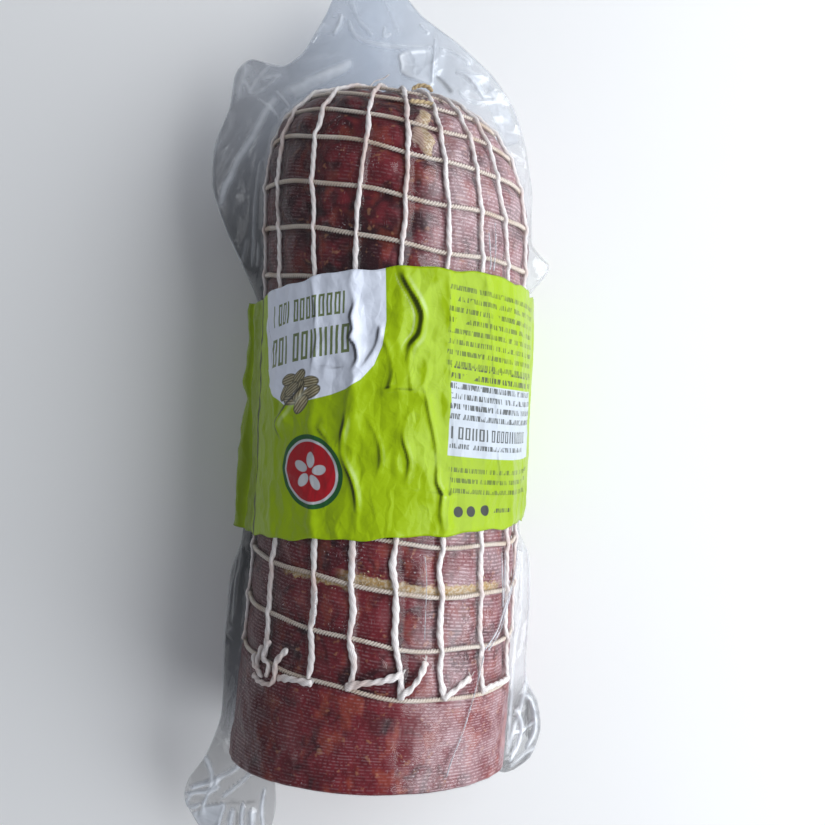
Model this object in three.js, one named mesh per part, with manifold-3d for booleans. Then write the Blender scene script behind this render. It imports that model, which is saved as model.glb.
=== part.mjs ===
// Half a fennel soppressata, cut flat across, in its string net, with a printed band round the
// middle and a clear vacuum bag whose spare film stands out at the sides and ends.
// Millimetres. X runs across the sausage, Y along it towards the domed end, and Z up.
// The sausage lies on its side on the floor, z = 0, with its axis level.

import * as THREE from 'three';
import Module from 'manifold-3d';
import { mergeVertices } from 'three/addons/utils/BufferGeometryUtils.js';

// Sausage: a cylinder that swells and bends a little towards the cut, closed by a blunt dome
// with a slight shoulder, which leans to the left
const RADIUS = 52.2;
const AXIS_HEIGHT = 49;
const CUT_AT = -130;
const CUT_LEAN = 0.1;
const CUT_LEAN_FROM = -87.5;
const CUT_ROUNDING = 1.4;
const BARE_FROM = -96;
const DOME_START = 74.4;
const DOME_LENGTH = 57.4;
const DOME_BULGE = 2.6;
const DOME_ROUND = 3.6;
const DOME_TIP = DOME_START + DOME_LENGTH;
const SHOULDER_SWELL = 0.01;
const SHOULDER_AT = 88;
const SHOULDER_REACH = 26;
const SWELL_START = -22;
const SWELL_PER_MM = 0.0005;
const BEND_START = -30;
const BEND_PER_MM2 = 0.0004;
const DOME_SHIFT = -3.4;
const DOME_SHIFT_FROM = 10;
const TIP_ROW = 131.79;
const BARE_ROWS = 5;

// The rings run downhill to the right: rise per millimetre across
const SLOPE_AT = [-120, -88, 0, 70, 110, 131.8];
const SLOPES = [0, -0.1, -0.1, -0.12, -0.12, -0.083];

// How far each surface lies under the widest outline, and pillow heights between the cords
const VALLEY_SUNK = 2.8;
const BARE_SUNK = 0.4;
const CORD_BACK_SUNK = 1.95;
const CORD_RIDGE_SUNK = 0.4;
const PILLOW_UPPER = 2;
const PILLOW_LOWER = 1.7;
const PILLOW_STEPS = 4;
const PILLOW_CROWN = 0.6;

// Levels over the floor where the soft meat is pressed flat: band, net, meat
const BAND_THICKNESS = 0.7;
const NET_FLAT_RIDGE = 1.05;
const NET_FLAT_BACK = 1.8;
const MEAT_FLAT = 2.6;

// Net: the rings round the sausage that the band leaves in view, the last one gathered at the
// tip, and thicker cords along it. A cord's angle is in degrees round from the top.
const RINGS = [-88.8, -70.9, -51.8, -34, 53, 70.4, 87, 103.3, 114.9, 123.5, 129.3, 131.65];
const RING_SPACING_MOST = 25;
const RING_HALF_WIDTH = 0.95;
const CORD_HALF_WIDTH = 1.3;
const BACK_CORDS = 9;
const CORDS_AT = [-86, -66, 62, 105];
const FRONT_CORDS = [
  [-80, -50, -25.3, -8.5, 10.8, 29, 50, 75, 97],
  [-84, -50.5, -26.5, -10.5, 6.5, 25.3, 45.5, 67, 88],
  [-80, -55.6, -33.5, -15, 2.7, 22, 39, 55.6, 75],
  [-82, -60, -36, -12, 5.5, 21, 36, 48.5, 76],
];
const CORD_WAVER = 0.018;
const WAVER_LENGTH = 4.6;
const WAVER_SHIFT = 2.3;

// Cut string ends at the net's last ring: degrees round and millimetres along, from and to
const STRING_ENDS = [
  { from: [-50, -88.8], to: [-37, -80] },
  { from: [-25.3, -88.8], to: [-41, -91] },
  { from: [-8.5, -88.8], to: [10.5, -81] },
  { from: [10.8, -88.8], to: [19.5, -76] },
  { from: [29, -88.8], to: [40.5, -81.5] },
  { from: [50, -88.8], to: [64, -86] },
];
const STRING_END_STEPS = 3;
const STRING_END_HALF_WIDTH = 1.4;
const STRING_END_HEIGHT = 2;
const STRING_END_CLIMB = 1.4;

// Printed band: a closed loop with a soft corner at each side, where it goes over the bag's seam
const BAND_SUNK = -0.1;
const BAND_COLUMNS = 40;
const BAND_ROWS = 6;
const BAND_TOP = 52.7;
const BAND_TOP_CROWN = 7.9;
const BAND_TOP_LEAN = 4.2;
const BAND_BOTTOM = -36.1;
const BAND_BOTTOM_CROWN = 2.2;
const BAND_BOTTOM_LEAN = 4.4;
const BAND_CROWN_POWER = 1.5;
const LEFT_CORNER_ANGLE = -95;
const RIGHT_CORNER_COLUMN = 22;
const LEFT_CORNER_HIGH = 57.6;
const LEFT_CORNER_LOW = 61;
const RIGHT_CORNER = 58;

// Tied end of the casing: a small loop of string at the dome's tip
const TIE_RADIUS = 1;
const TIE_HALF_WIDTH = 5;
const TIE_REACH = 3;
const TIE_CENTRE_X = 6.5;
const TIE_START_Y = 132.4;
const TIE_HEIGHT = 59;
const TIE_POINTS = 8;
const TIE_STEPS = 10;
const TIE_SIDES = 12;

// Spare film of the bag: its outer edge seen from above, from the lower left ear up the left
// side, round the sealed mouth and down the right side to the lower right ear
const FILM_EDGE = [
  [-42, -137], [-41, -158], [-45, -174], [-57, -181], [-71, -176], [-80, -160], [-78, -149],
  [-70, -136], [-64, -118], [-64, -90], [-62.5, -60], [-58.4, -46], [-57.2, -20], [-56, 10],
  [-55.4, 42], [-55.6, 49.5], [-60, 59], [-70, 78], [-77, 96], [-76.5, 114], [-71.5, 128], [-70, 143],
  [-64, 149], [-50, 146], [-42, 153], [-35, 169], [-29, 183], [-8, 186], [5, 172], [21, 160],
  [34, 148], [43, 136], [48.5, 122], [53, 100], [54, 79], [61.5, 71], [60, 66], [54.6, 59],
  [53.8, 54], [54, 0], [54.2, -36], [59, -48], [60.5, -66], [60.5, -98], [66, -110],
  [68, -122], [64, -134], [54, -140], [45, -137],
];
const FILM_TENSION = 0.35;
const FILM_STATIONS = 76;
const FILM_ACROSS = 4;
const FILM_GAP = 0.9;
const FILM_ROOT_STEP = 1.2;
const FILM_ROOT_THICKNESS = 2.4;
const FILM_EDGE_THICKNESS = 1.6;
const FILM_ROOT_LEFT = -5;
const FILM_ROOT_RIGHT = -12;
const FILM_DROOP = 0.45;
const FILM_DROOP_START = 12;
const FILM_WAVE = 0.07;
const FILM_WAVE_MOST = 2.6;
const FILM_WAVE_LENGTH = 5.5;
const FILM_WAVE_TURN = 1.9;
const CUT_ROOT_REACH = 41;
const CUT_ROOT_STEPS = 6;
const SIDE_ROOT_STEPS = 150;

const radians = THREE.MathUtils.degToRad;
const clamp = THREE.MathUtils.clamp;
const lerp = THREE.MathUtils.lerp;

function interpolate(value, stops, results) {
  const last = stops.length - 1;
  if (value <= stops[0]) return results[0];
  if (value >= stops[last]) return results[last];
  const next = stops.findIndex((stop) => stop > value);
  const share = (value - stops[next - 1]) / (stops[next] - stops[next - 1]);
  return lerp(results[next - 1], results[next], share);
}

// A point of the sausage: along its axis, round from the top, and sunk under the outline
function surfacePoint(along, around, sunk) {
  const dome = clamp((along - DOME_START) / DOME_LENGTH, 0, 1);
  const shoulder = SHOULDER_SWELL * Math.exp(-(((along - SHOULDER_AT) / SHOULDER_REACH) ** 2));
  const swell = 1 + SWELL_PER_MM * Math.max(0, SWELL_START - along) + shoulder;
  const radius = (RADIUS * swell - sunk) * (1 - dome ** DOME_BULGE) ** (1 / DOME_ROUND);
  const station = dome > 0 ? DOME_START + dome * (DOME_LENGTH - sunk) : along;
  const side = radius * Math.sin(around);
  const rise = radius * Math.cos(around);
  const bend = -BEND_PER_MM2 * Math.max(0, BEND_START - along) ** 2;
  const domeShare = clamp((along - DOME_SHIFT_FROM) / (DOME_TIP - DOME_SHIFT_FROM), 0, 1);
  const shift = bend + DOME_SHIFT * domeShare ** 2;
  const lean = CUT_LEAN * rise * THREE.MathUtils.smoothstep(-along, -CUT_LEAN_FROM, -CUT_AT);
  const slope = interpolate(along, SLOPE_AT, SLOPES);
  return new THREE.Vector3(shift + side, station + slope * side + lean, AXIS_HEIGHT + rise);
}

// Rests a point on a level where the underside is pressed flat
function seated(point, level) {
  point.z = Math.max(point.z, level);
  return point;
}

// Change of the along value that moves a point by a distance over the surface
function alongStep(along, distance) {
  const probe = 0.05;
  const ahead = surfacePoint(along + probe, 0, 0);
  const behind = surfacePoint(along - probe, 0, 0);
  return (distance * 2 * probe) / ahead.distanceTo(behind);
}

function radiusAt(along) {
  return surfacePoint(along, 0, 0).z - AXIS_HEIGHT;
}

// Joins like sections, each a closed loop of points, into one closed solid
function loft(sections, closed) {
  const count = sections[0].length;
  const faces = [];
  const joins = closed ? sections.length : sections.length - 1;
  for (let s = 0; s < joins; s++) {
    const here = s * count;
    const next = ((s + 1) % sections.length) * count;
    for (let i = 0; i < count; i++) {
      const j = (i + 1) % count;
      faces.push([here + i, here + j, next + j], [here + i, next + j, next + i]);
    }
  }
  if (!closed) {
    const end = (sections.length - 1) * count;
    for (let i = 0; i < count / 2 - 1; i++) {
      const far = count - 1 - i;
      faces.push([i, far, far - 1], [i, far - 1, i + 1]);
      faces.push([end + i, end + far - 1, end + far], [end + i, end + i + 1, end + far - 1]);
    }
  }
  return solidFrom(sections.flat(), faces.filter((face) => new Set(face).size === 3));
}

// A geometry from points and faces, turned so that its faces point out
function solidFrom(points, faces) {
  let volume = 0;
  for (const [a, b, c] of faces) {
    volume += points[a].dot(new THREE.Vector3().crossVectors(points[b], points[c]));
  }
  const turned = volume < 0 ? faces.map(([a, b, c]) => [a, c, b]) : faces;
  const geometry = new THREE.BufferGeometry();
  const positions = points.flatMap((point) => point.toArray());
  geometry.setAttribute('position', new THREE.Float32BufferAttribute(positions, 3));
  geometry.setIndex(turned.flat());
  geometry.computeVertexNormals();
  return geometry;
}

// Angles of all the cords, the measured front ones and evenly spaced ones behind
function withBackCords(front) {
  const first = front[0] + 360;
  const last = front[front.length - 1];
  const spacing = (first - last) / (BACK_CORDS + 1);
  const back = Array.from({ length: BACK_CORDS }, (_, i) => last + (i + 1) * spacing);
  return [...front, ...back];
}

const cords = FRONT_CORDS.map(withBackCords);
const cordCount = cords[0].length;

// Cords are counted on past a full turn, so that the last one leads to the first again
function cordAngle(cord, along) {
  const index = cord % cordCount;
  const turns = Math.floor(cord / cordCount) * 2 * Math.PI;
  const straight = radians(interpolate(along, CORDS_AT, cords.map((angles) => angles[index])));
  const calm = radiusAt(along) / RADIUS;
  const waver = CORD_WAVER * calm * Math.sin(along / WAVER_LENGTH + WAVER_SHIFT * index);
  return straight + turns + waver;
}

// Meat: pillows that bulge between the cords, and a bare stretch to the cut
function meatRows() {
  const rows = [];
  const bareStep = (RINGS[0] - CUT_AT - 2 * CUT_ROUNDING) / BARE_ROWS;
  for (let row = 0; row < BARE_ROWS; row++) {
    rows.push({ along: CUT_AT + 2 * CUT_ROUNDING + row * bareStep, ringShare: 0, bare: true });
  }
  for (let ring = 0; ring < RINGS.length; ring++) {
    rows.push({ along: RINGS[ring], ringShare: 0 });
    const next = RINGS[ring + 1];
    if (next !== undefined && next - RINGS[ring] < RING_SPACING_MOST) {
      rows.push({ along: (RINGS[ring] + next) / 2, ringShare: 1 });
    }
  }
  return rows;
}

function meatSunk(row, cordShare) {
  if (row.bare) {
    return row.along < BARE_FROM ? BARE_SUNK : VALLEY_SUNK - PILLOW_LOWER;
  }
  const height = row.along > 0 ? PILLOW_UPPER : PILLOW_LOWER;
  const near = clamp(radiusAt(row.along) / RADIUS, 0, 1);
  const crown = Math.sin(Math.PI * cordShare) ** PILLOW_CROWN;
  return VALLEY_SUNK - height * near * row.ringShare * crown;
}

function meatSection(row) {
  const section = [];
  for (let cord = 0; cord < cordCount; cord++) {
    const here = cordAngle(cord, row.along);
    const next = cordAngle(cord + 1, row.along);
    for (let step = 0; step < PILLOW_STEPS; step++) {
      const share = step / PILLOW_STEPS;
      const sunk = meatSunk(row, share);
      section.push(seated(surfacePoint(row.along, lerp(here, next, share), sunk), MEAT_FLAT));
    }
  }
  return section;
}

function meat() {
  const sections = meatRows().map(meatSection);
  const edge = meatSection({ along: CUT_AT, ringShare: 0, bare: true });
  const inward = 1 - CUT_ROUNDING / RADIUS;
  for (const point of edge) {
    point.x *= inward;
    point.z = Math.max(AXIS_HEIGHT + (point.z - AXIS_HEIGHT) * inward, MEAT_FLAT + CUT_ROUNDING / 2);
  }
  const tip = meatSection({ along: TIP_ROW, ringShare: 0 });
  return loft([edge, ...sections, tip], false);
}

// Net: the string's ridge stands over its two edges, which lie on the meat
function ridgePoint(along, around) {
  return seated(surfacePoint(along, around, CORD_RIDGE_SUNK), NET_FLAT_RIDGE);
}

function edgePoint(along, around) {
  return seated(surfacePoint(along, around, CORD_BACK_SUNK), NET_FLAT_BACK);
}

// The ridge and the four corners where a cord crosses a ring
function crossing(cord, along) {
  const around = cordAngle(cord, along);
  const aside = CORD_HALF_WIDTH / Math.max(radiusAt(along), CORD_HALF_WIDTH);
  const ahead = alongStep(along, RING_HALF_WIDTH);
  const corner = (x, y) => edgePoint(along + y * ahead, around + x * aside);
  return {
    ridge: ridgePoint(along, around),
    upLeft: corner(-1, 1),
    upRight: corner(1, 1),
    lowLeft: corner(-1, -1),
    lowRight: corner(1, -1),
  };
}

// The ridge and the two edges halfway along a cord or a ring
function halfway(along, around, aside, ahead) {
  return {
    ridge: ridgePoint(along, around),
    first: edgePoint(along - ahead, around - aside),
    second: edgePoint(along + ahead, around + aside),
  };
}

function netLattice() {
  const points = [];
  const faces = [];
  const known = new Map();
  const index = (point) => {
    if (!known.has(point)) known.set(point, points.push(point) - 1);
    return known.get(point);
  };
  const quad = (a, b, c, d) => {
    const [i, j, k, l] = [a, b, c, d].map(index);
    faces.push([i, j, k], [i, k, l]);
  };
  const crossings = RINGS.map((along) => {
    return Array.from({ length: cordCount }, (_, cord) => crossing(cord, along));
  });
  RINGS.forEach((along, ring) => {
    const above = crossings[ring + 1];
    for (let cord = 0; cord < cordCount; cord++) {
      const here = crossings[ring][cord];
      const right = crossings[ring][(cord + 1) % cordCount];
      quad(here.lowLeft, here.upLeft, here.upRight, here.lowRight);
      const between = (cordAngle(cord, along) + cordAngle(cord + 1, along)) / 2;
      const middle = halfway(along, between, 0, alongStep(along, RING_HALF_WIDTH));
      quad(here.ridge, middle.ridge, middle.second, here.upRight);
      quad(here.lowRight, middle.first, middle.ridge, here.ridge);
      quad(here.lowRight, here.upRight, middle.second, middle.first);
      quad(middle.ridge, right.ridge, right.upLeft, middle.second);
      quad(middle.first, right.lowLeft, right.ridge, middle.ridge);
      quad(middle.first, middle.second, right.upLeft, right.lowLeft);
      if (ring === 0) {
        faces.push([here.ridge, here.lowLeft, here.lowRight].map(index));
      }
      if (!above) {
        faces.push([here.ridge, here.upRight, here.upLeft].map(index));
        continue;
      }
      const over = above[cord];
      const halfAlong = (along + RINGS[ring + 1]) / 2;
      const halfRadius = radiusAt(halfAlong);
      const half = halfway(halfAlong, cordAngle(cord, halfAlong), CORD_HALF_WIDTH / halfRadius, 0);
      quad(here.upLeft, here.ridge, half.ridge, half.first);
      quad(here.ridge, here.upRight, half.second, half.ridge);
      quad(here.upLeft, half.first, half.second, here.upRight);
      quad(half.first, half.ridge, over.ridge, over.lowLeft);
      quad(half.ridge, half.second, over.lowRight, over.ridge);
      quad(half.first, over.lowLeft, over.lowRight, half.second);
    }
  });
  return solidFrom(points, faces);
}

// A cut end of string that lies over the meat, thicker than the cords that it hangs from
function stringEnd({ from, to }) {
  const sections = [];
  for (let step = 0; step <= STRING_END_STEPS; step++) {
    const share = step / STRING_END_STEPS;
    const around = radians(lerp(from[0], to[0], share));
    const along = lerp(from[1], to[1], share);
    const aside = STRING_END_HALF_WIDTH / radiusAt(along);
    const lift = CORD_RIDGE_SUNK - STRING_END_CLIMB * share;
    sections.push([
      surfacePoint(along, around - aside, lift + STRING_END_HEIGHT / 2),
      surfacePoint(along, around - aside / 2, lift - STRING_END_HEIGHT / 4),
      surfacePoint(along, around + aside / 2, lift - STRING_END_HEIGHT / 4),
      surfacePoint(along, around + aside, lift + STRING_END_HEIGHT / 2),
    ]);
  }
  return loft(sections, false);
}

const wasm = await Module();
wasm.setup();

function toManifold(geometry) {
  const bare = geometry.clone();
  bare.deleteAttribute('normal');
  const merged = mergeVertices(bare);
  const vertProperties = new Float32Array(merged.attributes.position.array);
  const triVerts = new Uint32Array(merged.index.array);
  return new wasm.Manifold(new wasm.Mesh({ numProp: 3, vertProperties, triVerts }));
}

function fromManifold(solid) {
  const mesh = solid.getMesh();
  const geometry = new THREE.BufferGeometry();
  geometry.setAttribute('position', new THREE.BufferAttribute(mesh.vertProperties, 3));
  geometry.setIndex(new THREE.BufferAttribute(mesh.triVerts, 1));
  geometry.computeVertexNormals();
  return geometry;
}

function net() {
  let joined = toManifold(netLattice());
  for (const end of STRING_ENDS) {
    joined = joined.add(toManifold(stringEnd(end)));
  }
  return fromManifold(joined);
}

// Printed band: how far it stands out at a corner, drawn tight over the bag's side seam
function corneredRadius(base, tip, turn) {
  const spread = Math.acos(base / tip);
  const offset = Math.abs(Math.atan2(Math.sin(turn), Math.cos(turn)));
  return offset < spread ? base / Math.cos(spread - offset) : base;
}

function bandSection(column) {
  const around = radians(LEFT_CORNER_ANGLE + (column * 360) / BAND_COLUMNS);
  const rightCorner = radians(LEFT_CORNER_ANGLE + (RIGHT_CORNER_COLUMN * 360) / BAND_COLUMNS);
  const crown = Math.max(0, Math.cos(around)) ** BAND_CROWN_POWER;
  const top = BAND_TOP + BAND_TOP_CROWN * crown + BAND_TOP_LEAN * Math.sin(around);
  const bottom = BAND_BOTTOM + BAND_BOTTOM_CROWN * crown + BAND_BOTTOM_LEAN * Math.sin(around);
  const outer = [];
  const inner = [];
  for (let row = 0; row <= BAND_ROWS; row++) {
    const share = row / BAND_ROWS;
    const y = lerp(bottom, top, share);
    const base = radiusAt(y) - BAND_SUNK + BAND_THICKNESS;
    const leftTip = lerp(LEFT_CORNER_LOW, LEFT_CORNER_HIGH, share);
    const left = corneredRadius(base, leftTip, around - radians(LEFT_CORNER_ANGLE));
    const right = corneredRadius(base, RIGHT_CORNER, around - rightCorner);
    const reach = Math.max(left, right);
    const across = Math.sin(around);
    const rise = Math.cos(around);
    const bend = surfacePoint(y, 0, 0).x;
    const within = reach - BAND_THICKNESS;
    outer.push(seated(new THREE.Vector3(bend + reach * across, y, AXIS_HEIGHT + reach * rise), 0));
    inner.push(seated(
      new THREE.Vector3(bend + within * across, y, AXIS_HEIGHT + within * rise), BAND_THICKNESS));
  }
  return [...outer, ...inner.reverse()];
}

function band() {
  return loft(Array.from({ length: BAND_COLUMNS }, (_, column) => bandSection(column)), true);
}

// Tied end: an arch of string that stands out from the dome's tip
function tie() {
  const half = new THREE.EllipseCurve(0, 0, TIE_HALF_WIDTH, TIE_REACH, 0, Math.PI);
  const arch = half.getSpacedPoints(TIE_POINTS).map((point) => {
    return new THREE.Vector3(TIE_CENTRE_X + point.x, TIE_START_Y + point.y, TIE_HEIGHT);
  });
  const outline = new THREE.Shape();
  outline.absarc(0, 0, TIE_RADIUS, 0, 2 * Math.PI);
  return new THREE.ExtrudeGeometry(outline, {
    extrudePath: new THREE.CatmullRomCurve3(arch),
    steps: TIE_STEPS,
    curveSegments: TIE_SIDES / 2,
    bevelEnabled: false,
  });
}

// Where the spare film leaves the sausage, seen from above: along the cut, up the left side,
// round the dome and down the right side
function filmRoot() {
  const cutY = CUT_AT + CUT_LEAN * FILM_ROOT_RIGHT - FILM_GAP;
  const sidePoint = (along, side) => {
    const point = surfacePoint(along, (side * Math.PI) / 2, -FILM_GAP);
    return new THREE.Vector2(point.x, point.y);
  };
  const cutPart = (side) => Array.from({ length: CUT_ROOT_STEPS }, (_, step) => {
    const corner = sidePoint(CUT_AT, side).x;
    return new THREE.Vector2(lerp(side * CUT_ROOT_REACH, corner, step / CUT_ROOT_STEPS), cutY);
  });
  const outline = Array.from({ length: SIDE_ROOT_STEPS + 1 }, (_, step) => {
    const turn = (step / SIDE_ROOT_STEPS) * (Math.PI / 2);
    return lerp(CUT_AT, DOME_TIP, Math.sin(turn));
  });
  return [
    ...cutPart(-1),
    ...outline.map((along) => sidePoint(along, -1)),
    ...outline.reverse().slice(1).map((along) => sidePoint(along, 1)),
    ...cutPart(1).reverse(),
  ];
}

// The place along the root nearest to each point of the edge, kept in order and apart
function rootPlaces(root, edge) {
  const lengths = [0];
  for (let i = 1; i < root.length; i++) {
    lengths.push(lengths[i - 1] + root[i].distanceTo(root[i - 1]));
  }
  const places = edge.map((point) => {
    const distances = root.map((candidate) => candidate.distanceTo(point));
    return lengths[distances.indexOf(Math.min(...distances))];
  });
  places[0] = 0;
  for (let i = 1; i < places.length; i++) {
    places[i] = Math.max(places[i], places[i - 1] + FILM_ROOT_STEP);
  }
  places[places.length - 1] = lengths[lengths.length - 1];
  for (let i = places.length - 2; i >= 0; i--) {
    places[i] = Math.min(places[i], places[i + 1] - FILM_ROOT_STEP);
  }
  return places.map((place) => new THREE.Vector2(
    interpolate(place, lengths, root.map((point) => point.x)),
    interpolate(place, lengths, root.map((point) => point.y)),
  ));
}

function bag() {
  const edgePoints = FILM_EDGE.map(([x, y]) => new THREE.Vector3(x, y, 0));
  const edgeCurve = new THREE.CatmullRomCurve3(edgePoints, false, 'catmullrom', FILM_TENSION);
  const edge = edgeCurve.getSpacedPoints(FILM_STATIONS).map((p) => new THREE.Vector2(p.x, p.y));
  const places = rootPlaces(filmRoot(), edge);
  const sections = edge.map((outer, station) => {
    const root = places[station];
    const side = clamp((root.x + RADIUS) / (2 * RADIUS), 0, 1);
    const rootHeight = AXIS_HEIGHT + lerp(FILM_ROOT_LEFT, FILM_ROOT_RIGHT, side);
    const top = [];
    const under = [];
    for (let step = 0; step <= FILM_ACROSS; step++) {
      const share = step / FILM_ACROSS;
      const reach = share * root.distanceTo(outer);
      const wave = Math.min(FILM_WAVE * reach, FILM_WAVE_MOST);
      const phase = station * FILM_WAVE_TURN + reach / FILM_WAVE_LENGTH;
      const droop = (FILM_DROOP * reach ** 2) / (reach + FILM_DROOP_START);
      const height = rootHeight - droop + wave * Math.sin(phase);
      const half = lerp(FILM_ROOT_THICKNESS, FILM_EDGE_THICKNESS, share) / 2;
      const x = lerp(root.x, outer.x, share);
      const y = lerp(root.y, outer.y, share);
      top.push(new THREE.Vector3(x, y, height + half));
      under.push(new THREE.Vector3(x, y, height - half));
    }
    return [...top, ...under.reverse()];
  });
  return loft(sections, false);
}

function mesh(name, geometry, color, roughness) {
  const material = new THREE.MeshStandardMaterial({ color, roughness, metalness: 0 });
  const piece = new THREE.Mesh(geometry, material);
  piece.name = name;
  return piece;
}

const group = new THREE.Group();
group.add(
  mesh('meat', meat(), 0x6e2b2a, 0.4),
  mesh('net', net(), 0xe8e2d8, 0.7),
  mesh('band', band(), 0x9cc018, 0.35),
  mesh('tie', tie(), 0x8f6f43, 0.8),
  mesh('bag', bag(), 0xc6cacd, 0.15),
);

export default group;
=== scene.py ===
import math
import random

import bpy
import numpy as np
from mathutils import Matrix, Vector, noise


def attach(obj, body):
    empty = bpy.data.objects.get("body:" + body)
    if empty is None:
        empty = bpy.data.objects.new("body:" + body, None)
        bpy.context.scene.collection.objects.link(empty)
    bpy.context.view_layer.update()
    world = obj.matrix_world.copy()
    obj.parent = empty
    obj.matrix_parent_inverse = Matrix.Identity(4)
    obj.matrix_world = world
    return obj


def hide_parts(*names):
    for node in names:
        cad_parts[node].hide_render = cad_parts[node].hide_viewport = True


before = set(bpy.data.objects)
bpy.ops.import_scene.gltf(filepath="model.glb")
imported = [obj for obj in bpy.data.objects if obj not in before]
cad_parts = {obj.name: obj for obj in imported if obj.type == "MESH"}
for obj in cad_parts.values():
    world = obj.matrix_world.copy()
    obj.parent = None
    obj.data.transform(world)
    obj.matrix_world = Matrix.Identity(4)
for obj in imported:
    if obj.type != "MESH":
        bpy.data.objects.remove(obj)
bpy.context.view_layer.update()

# The studio: a pale floor, a wide window light on the right, a thin soft light on the left,
# and a camera that looks almost straight down, turned a little, as the photograph was taken.
CAMERA_PLACE = Vector((0.00844, 0.02412, 0.46065))
CAMERA_PITCH = math.radians(-2.15)
CAMERA_ROLL = math.radians(-2.625)
CAMERA_LENS = 45.12
SENSOR = 36.0
LIGHTS = [
    # name, place, aim, width, height, watts, colour
    ("window", (0.65, 0.05, 0.52), (0.0, 0.0, 0.05), 1.4, 0.85, 12.2, (0.94, 0.97, 1.0)),
    ("left_strip", (-0.69, 0.05, 0.45), (0.0, 0.05, 0.05), 1.0, 0.04, 0.16, (0.96, 0.98, 1.0)),
]
WORLD_COLOUR = (0.88, 0.92, 1.0, 1.0)
WORLD_STRENGTH = 0.27
FLOOR_SIZE = 3.0
FLOOR_COLOUR = (0.92, 0.92, 0.92, 1.0)


def new_material(name, **sockets):
    material = bpy.data.materials.new(name)
    material.use_nodes = True
    shader = material.node_tree.nodes["Principled BSDF"]
    for socket, value in sockets.items():
        shader.inputs[socket.replace("_", " ")].default_value = value
    return material, material.node_tree, shader


bpy.ops.object.select_all(action="DESELECT")
bpy.ops.mesh.primitive_plane_add(size=FLOOR_SIZE)
floor = bpy.context.object
floor.name = "floor"
floor.data.materials.append(new_material("pale_floor", Base_Color=FLOOR_COLOUR, Roughness=0.9)[0])

for light_name, place, aim, width, height, watts, colour in LIGHTS:
    bpy.ops.object.light_add(type="AREA", location=place)
    light = bpy.context.object
    light.name = light_name
    toward = Vector(aim) - Vector(place)
    light.rotation_mode = "QUATERNION"
    light.rotation_quaternion = toward.to_track_quat("-Z", "Y")
    light.data.shape = "RECTANGLE"
    light.data.size = width
    light.data.size_y = height
    light.data.energy = watts
    light.data.color = colour

world = bpy.data.worlds.new("studio")
bpy.context.scene.world = world
world.use_nodes = True
background = world.node_tree.nodes["Background"]
background.inputs["Color"].default_value = WORLD_COLOUR
background.inputs["Strength"].default_value = WORLD_STRENGTH

bpy.ops.object.camera_add(location=CAMERA_PLACE)
camera = bpy.context.object
camera.name = "camera"
camera.data.lens = CAMERA_LENS
camera.data.sensor_width = SENSOR
camera_forward = Vector((0.0, math.sin(CAMERA_PITCH), -math.cos(CAMERA_PITCH)))
level_right = Vector((1.0, 0.0, 0.0))
level_up = level_right.cross(camera_forward)
camera_right = math.cos(CAMERA_ROLL) * level_right - math.sin(CAMERA_ROLL) * level_up
camera_up = math.sin(CAMERA_ROLL) * level_right + math.cos(CAMERA_ROLL) * level_up
camera_turn = Matrix((camera_right, camera_up, -camera_forward)).transposed()
camera.rotation_mode = "QUATERNION"
camera.rotation_quaternion = camera_turn.to_quaternion()
bpy.context.scene.camera = camera
bpy.context.scene.view_settings.view_transform = "Standard"

# The sausage: coarse pork stuffed in a ribbed casing, pressed into pillows by its net, with a
# round end at the top and a flat cut across the other end, where the lean and the fat show.
RADIUS = 0.0522
AXIS_HEIGHT = 0.049
CUT_AT = -0.130
CUT_LEAN = 0.1
LEAN_FROM = 0.0875
CUT_ROUNDING = 0.0014
DOME_START = 0.0744
DOME_LENGTH = 0.0574
DOME_TIP = DOME_START + DOME_LENGTH
DOME_BULGE = 2.6
DOME_ROUND = 3.6
SHOULDER_SWELL = 0.01
SHOULDER_AT = 0.088
SHOULDER_REACH = 0.026
SWELL_START = -0.022
SWELL_PER_M = 0.5
BEND_START = -0.030
BEND_PER_M = 0.4
DOME_SHIFT = -0.0034
DOME_SHIFT_FROM = 0.010
SLOPE_AT = [-0.120, -0.088, 0.0, 0.070, 0.110, 0.1318]
SLOPES = [0.0, -0.1, -0.1, -0.12, -0.12, -0.083]
VALLEY_SUNK = 0.0028
BARE_SUNK = 0.0004
PILLOW_UPPER = 0.0022
PILLOW_LOWER = 0.0018
PILLOW_PUFF = 2.3
PILLOW_UNDER_BAND = 0.7
MEAT_FLAT = 0.0018
RINGS = [-0.0888, -0.0709, -0.0518, -0.034, 0.053, 0.0704, 0.087, 0.1033, 0.1149, 0.1235,
         0.1293, 0.13165]
RINGS_UNDER_BAND = [-0.0166, 0.0008, 0.0182, 0.0356]
CORDS_AT = [-0.086, -0.066, 0.062, 0.105]
FRONT_CORDS = [
    [-80, -50, -25.3, -8.5, 10.8, 29, 50, 75, 97],
    [-84, -50.5, -26.5, -10.5, 6.5, 25.3, 45.5, 67, 88],
    [-80, -55.6, -33.5, -15, 2.7, 22, 39, 55.6, 75],
    [-82, -60, -36, -12, 5.5, 21, 36, 48.5, 76],
]
BACK_CORDS = 9
KNOT_WAVER = 0.0003
RING_RISE = 0.0004
RING_SAG = 0.0016
RING_SAG_AT = 15
RING_SAG_REACH = 22
RING_LEAN = 0.002
LOWER_WAVER = 0.0013
UPPER_WAVER = 0.0007
CUT_ROWS = 18
ROUNDED_ROWS = 5
STRAIGHT_ROWS = 200
DOME_ROWS = 86
ROUND_COLUMNS = 300
SEAM_GAP = 0.00002
LUMP = 0.0009
FINE_LUMP = 0.00055
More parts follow.
